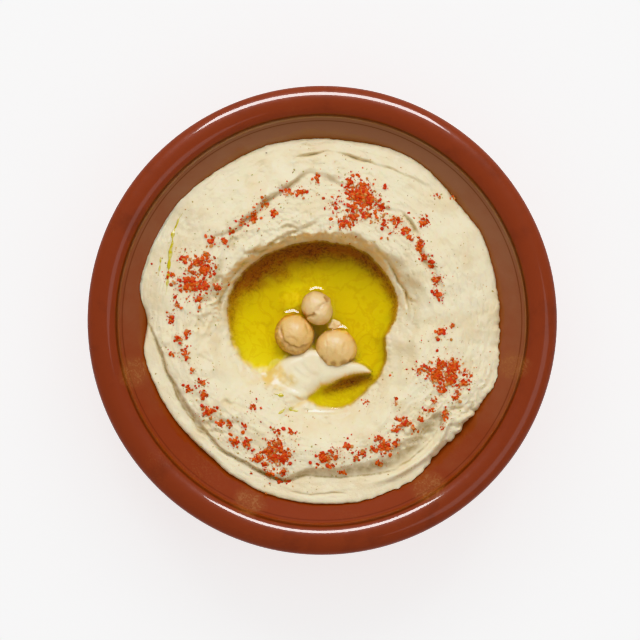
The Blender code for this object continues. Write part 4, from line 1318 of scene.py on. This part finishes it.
def make_paprika(spice, shape):
    """The paprika, in the patches where it fell."""
    rng = random.Random(spice.seed)
    xs, ys = [], []
    for x, y, half_x, half_y, count in PAPRIKA:
        for _ in range(round(count * spice.amount)):
            reach = spice.spread * (STRAY if rng.random() < 0.25 else 1.0)
            xs.append(rng.gauss(x, half_x * reach))
            ys.append(rng.gauss(y, half_y * reach))
    xs, ys = np.array(xs), np.array(ys)
    zs = shape.height(xs, ys)[0] + np.array([rng.uniform(0.0, 0.22) for _ in xs])
    obj = scatter("paprika", list(zip(xs, ys, zs)), paprika_red(spice), spice.grain_small, spice.grain_large, spice.seed, 0.45)
    settle(obj, "hummus_paste")


def make_specks(spice, shape):
    """Fine specks of cumin and herb, strewn over the ring and thicker round the paprika."""
    rng = random.Random(spice.seed + 20)
    points = []
    while len(points) < spice.specks:
        if rng.random() < 0.55:
            x, y, half_x, half_y, _ = rng.choice(PAPRIKA)
            points.append((rng.gauss(x, half_x + 1.6), rng.gauss(y, half_y + 1.6)))
        else:
            angle = rng.uniform(0, math.tau)
            radius = rng.uniform(27.0, 56.5)
            points.append((radius * math.cos(angle), radius * math.sin(angle)))
    xs = np.array([p[0] for p in points])
    ys = np.array([p[1] for p in points])
    heights = shape.height(xs, ys)[0]
    keep = (heights > shape.level + 1.0) & (np.hypot(xs, ys) < 56.5)
    cloud = list(zip(xs[keep], ys[keep], heights[keep]))
    obj = scatter("specks", cloud, speck_brown(), 0.0003, 0.0008, spice.seed + 30, 0.35)
    settle(obj, "hummus_paste")


def make_oil_threads(oil, shape):
    """The threads and dabs of oil, swept along their paths by Geometry Nodes and pressed flat."""
    points, edges, swell = [], [], []
    for width, path in OIL_THREADS:
        line = curve_through(path, 10)
        first = len(points)
        for index, (x, y) in enumerate(line):
            part = index / (len(line) - 1)
            dab = min(max(0.55 + 1.5 * noise.noise((y / 1.9, x / 1.9, 7.0)), 0.16), 1.0)
            swell.append(width * dab * (1 - abs(2 * part - 1) ** 4) + 0.04)
            points.append((x + 0.3 * noise.noise((0.0, y / 2.4, 3.0)), y))
        edges += [(i, i + 1) for i in range(first, len(points) - 1)]
    xs, ys = np.array(points).T
    zs = shape.height(xs, ys)[0]
    mesh = bpy.data.meshes.new("oil_thread")
    mesh.from_pydata([(x * MM, y * MM, z * MM) for x, y, z in zip(xs, ys, zs)], edges, [])
    carry(mesh, "swell", swell)
    obj = add_piece("oil_thread", mesh)
    shaper = Shaper("oil_path")
    width = shaper.entry_value("Width", 0.001)
    line = shaper.node("GeometryNodeMeshToCurve", {}, {"Mesh": shaper.geometry()})
    section = shaper.node("GeometryNodeCurvePrimitiveCircle", {"mode": "RADIUS"},
                          {"Resolution": 12, "Radius": width * 0.5})
    tube = shaper.node("GeometryNodeCurveToMesh", {}, {
        "Curve": line, "Profile Curve": section, "Fill Caps": True, "Scale": shaper.carried("swell")})
    shaper.end(tube, oil_film(oil))
    shaper.bake(obj)
    count = len(obj.data.vertices)
    place = np.zeros(count * 3, dtype=np.float32)
    obj.data.vertices.foreach_get("co", place)
    place = place.reshape(count, 3).astype(float)
    ground = shape.height(place[:, 0] / MM, place[:, 1] / MM)[0] * MM
    place[:, 2] = ground + (place[:, 2] - ground) * 0.35 + 0.00005
    obj.data.vertices.foreach_set("co", place.astype(np.float32).ravel())
    obj.data.shade_smooth()
    settle(obj, "olive_oil")


# ---------------------------------------------------------------- stage

def add_light(name, size, power, azimuth, elevation, distance, tone=(1.0, 1.0, 1.0)):
    """A softbox that faces the bowl, by its direction in degrees; azimuth is from +X."""
    data = bpy.data.lights.new(name, "AREA")
    data.shape = "RECTANGLE"
    data.size, data.size_y = size
    data.energy = power
    data.color = tone
    obj = bpy.data.objects.new(name, data)
    bpy.context.scene.collection.objects.link(obj)
    a, e = math.radians(azimuth), math.radians(elevation)
    direction = Vector((math.cos(a) * math.cos(e), math.sin(a) * math.cos(e), math.sin(e)))
    obj.location = direction * distance + Vector((0.0, 0.0, 0.03))
    obj.rotation_euler = direction.to_track_quat("Z", "Y").to_euler()
    return obj


def make_stage(stage, bowl):
    """A white table, a window at the back, light from all round and the camera overhead."""
    scene = bpy.context.scene
    mesh = bpy.data.meshes.new("table")
    bm = bmesh.new()
    bmesh.ops.create_grid(bm, x_segments=4, y_segments=4, size=3.0, matrix=Matrix.Translation((0.0, 0.0, TABLE_TOP)))
    bm.to_mesh(mesh)
    bm.free()
    finish = Finish("white_table", roughness=0.9, emission_strength=0.55, emission_color=(1.0, 1.0, 1.0, 1.0))
    shade = finish.blend((0.93, 0.93, 0.93), (0.90, 0.90, 0.90), finish.grain(3.0))
    mesh.materials.append(finish.feed(base_color=shade))
    table = add_piece("table", mesh)
    table.visible_glossy = False

    world = bpy.data.worlds.new("room")
    world.use_nodes = True
    world.node_tree.nodes["Background"].inputs["Color"].default_value = (1.0, 1.0, 1.0, 1.0)
    world.node_tree.nodes["Background"].inputs["Strength"].default_value = stage.sky
    scene.world = world
    scene.view_settings.view_transform = "Khronos PBR Neutral"

    window = add_light("window", (1.1, 0.42), stage.key, 90.0, 45.0, 1.1)
    window.visible_glossy = False
    glint = add_light("window_glint", (0.84, 0.28), stage.glint * 0.77, 90.0, 45.0, 1.0)
    glint.visible_diffuse = False
    add_light("reflector", (0.7, 0.5), stage.key * 0.12, -30.0, 60.0, 1.1)

    camera = bpy.data.cameras.new("overhead")
    camera.sensor_width = 36.0
    camera.lens = camera.sensor_width * stage.distance / stage.view_width
    camera.clip_end = 10.0
    obj = bpy.data.objects.new("overhead", camera)
    obj.location = (-0.00064, 0.00016, bowl.height + stage.distance)
    scene.collection.objects.link(obj)
    scene.camera = obj


# ---------------------------------------------------------------- operators and panel

class HUMMUS_OT_bowl(bpy.types.Operator):
    """Make the glazed terracotta bowl"""
    bl_idname = "hummus.bowl"
    bl_label = "Bowl"

    def execute(self, context):
        make_bowl(context.scene.hummus_bowl.bowl)
        return {"FINISHED"}


class HUMMUS_OT_heap(bpy.types.Operator):
    """Make the heap of hummus with its well and tongue"""
    bl_idname = "hummus.heap"
    bl_label = "Hummus"

    def execute(self, context):
        settings = context.scene.hummus_bowl
        make_heap(settings.heap, settings.oil)
        return {"FINISHED"}


class HUMMUS_OT_oil(bpy.types.Operator):
    """Pour the olive oil, with the thread that ran down the left"""
    bl_idname = "hummus.oil"
    bl_label = "Olive oil"

    def execute(self, context):
        oil = context.scene.hummus_bowl.oil
        shape = Heap(oil.level / MM)
        make_oil(oil, shape)
        make_oil_threads(oil, shape)
        return {"FINISHED"}


class HUMMUS_OT_chickpeas(bpy.types.Operator):
    """Set the three chickpeas in the oil"""
    bl_idname = "hummus.chickpeas"
    bl_label = "Chickpeas"

    def execute(self, context):
        chickpea = context.scene.hummus_bowl.chickpea
        material = chickpea_skin(chickpea)
        for name, pea in CHICKPEAS.items():
            make_chickpea(name, pea, chickpea, material)
        make_skin_bit(material)
        return {"FINISHED"}


class HUMMUS_OT_spice(bpy.types.Operator):
    """Dust the hummus with paprika and fine specks"""
    bl_idname = "hummus.spice"
    bl_label = "Paprika and specks"

    def execute(self, context):
        settings = context.scene.hummus_bowl
        shape = Heap(settings.oil.level / MM)
        make_paprika(settings.spice, shape)
        make_specks(settings.spice, shape)
        return {"FINISHED"}


class HUMMUS_OT_stage(bpy.types.Operator):
    """Set the table, the lights and the camera"""
    bl_idname = "hummus.stage"
    bl_label = "Stage"

    def execute(self, context):
        settings = context.scene.hummus_bowl
        make_stage(settings.stage, settings.bowl)
        return {"FINISHED"}


class HUMMUS_PT_panel(bpy.types.Panel):
    """Lists the pieces and their settings"""
    bl_label = "Hummus Bowl"
    bl_idname = "HUMMUS_PT_panel"
    bl_space_type = "VIEW_3D"
    bl_region_type = "UI"
    bl_category = "Hummus Bowl"

    def draw(self, context):
        settings = context.scene.hummus_bowl
        for operator, group in PANEL_ROWS:
            box = self.layout.box()
            box.operator(operator.bl_idname)
            piece = getattr(settings, group)
            for key in piece.bl_rna.properties.keys():
                if key not in ("rna_type", "name"):
                    box.prop(piece, key)


PANEL_ROWS = (
    (HUMMUS_OT_bowl, "bowl"),
    (HUMMUS_OT_heap, "heap"),
    (HUMMUS_OT_oil, "oil"),
    (HUMMUS_OT_chickpeas, "chickpea"),
    (HUMMUS_OT_spice, "spice"),
    (HUMMUS_OT_stage, "stage"),
)

CLASSES = (
    BowlSettings, HeapSettings, OilSettings, ChickpeaSettings, SpiceSettings, StageSettings, HummusBowlSettings,
    HUMMUS_OT_bowl, HUMMUS_OT_heap, HUMMUS_OT_oil, HUMMUS_OT_chickpeas, HUMMUS_OT_spice, HUMMUS_OT_stage,
    HUMMUS_PT_panel,
)


def register():
    """Registers the classes and the scene's settings."""
    for item in CLASSES:
        bpy.utils.register_class(item)
    bpy.types.Scene.hummus_bowl = bpy.props.PointerProperty(type=HummusBowlSettings)


def unregister():
    """Removes the settings and the classes."""
    del bpy.types.Scene.hummus_bowl
    for item in reversed(CLASSES):
        bpy.utils.unregister_class(item)


def main():
    """Makes every piece and the stage."""
    register()
    for make in (bpy.ops.hummus.stage, bpy.ops.hummus.bowl, bpy.ops.hummus.heap, bpy.ops.hummus.chickpeas,
                 bpy.ops.hummus.oil, bpy.ops.hummus.spice):
        make()


if __name__ == "__main__":
    main()
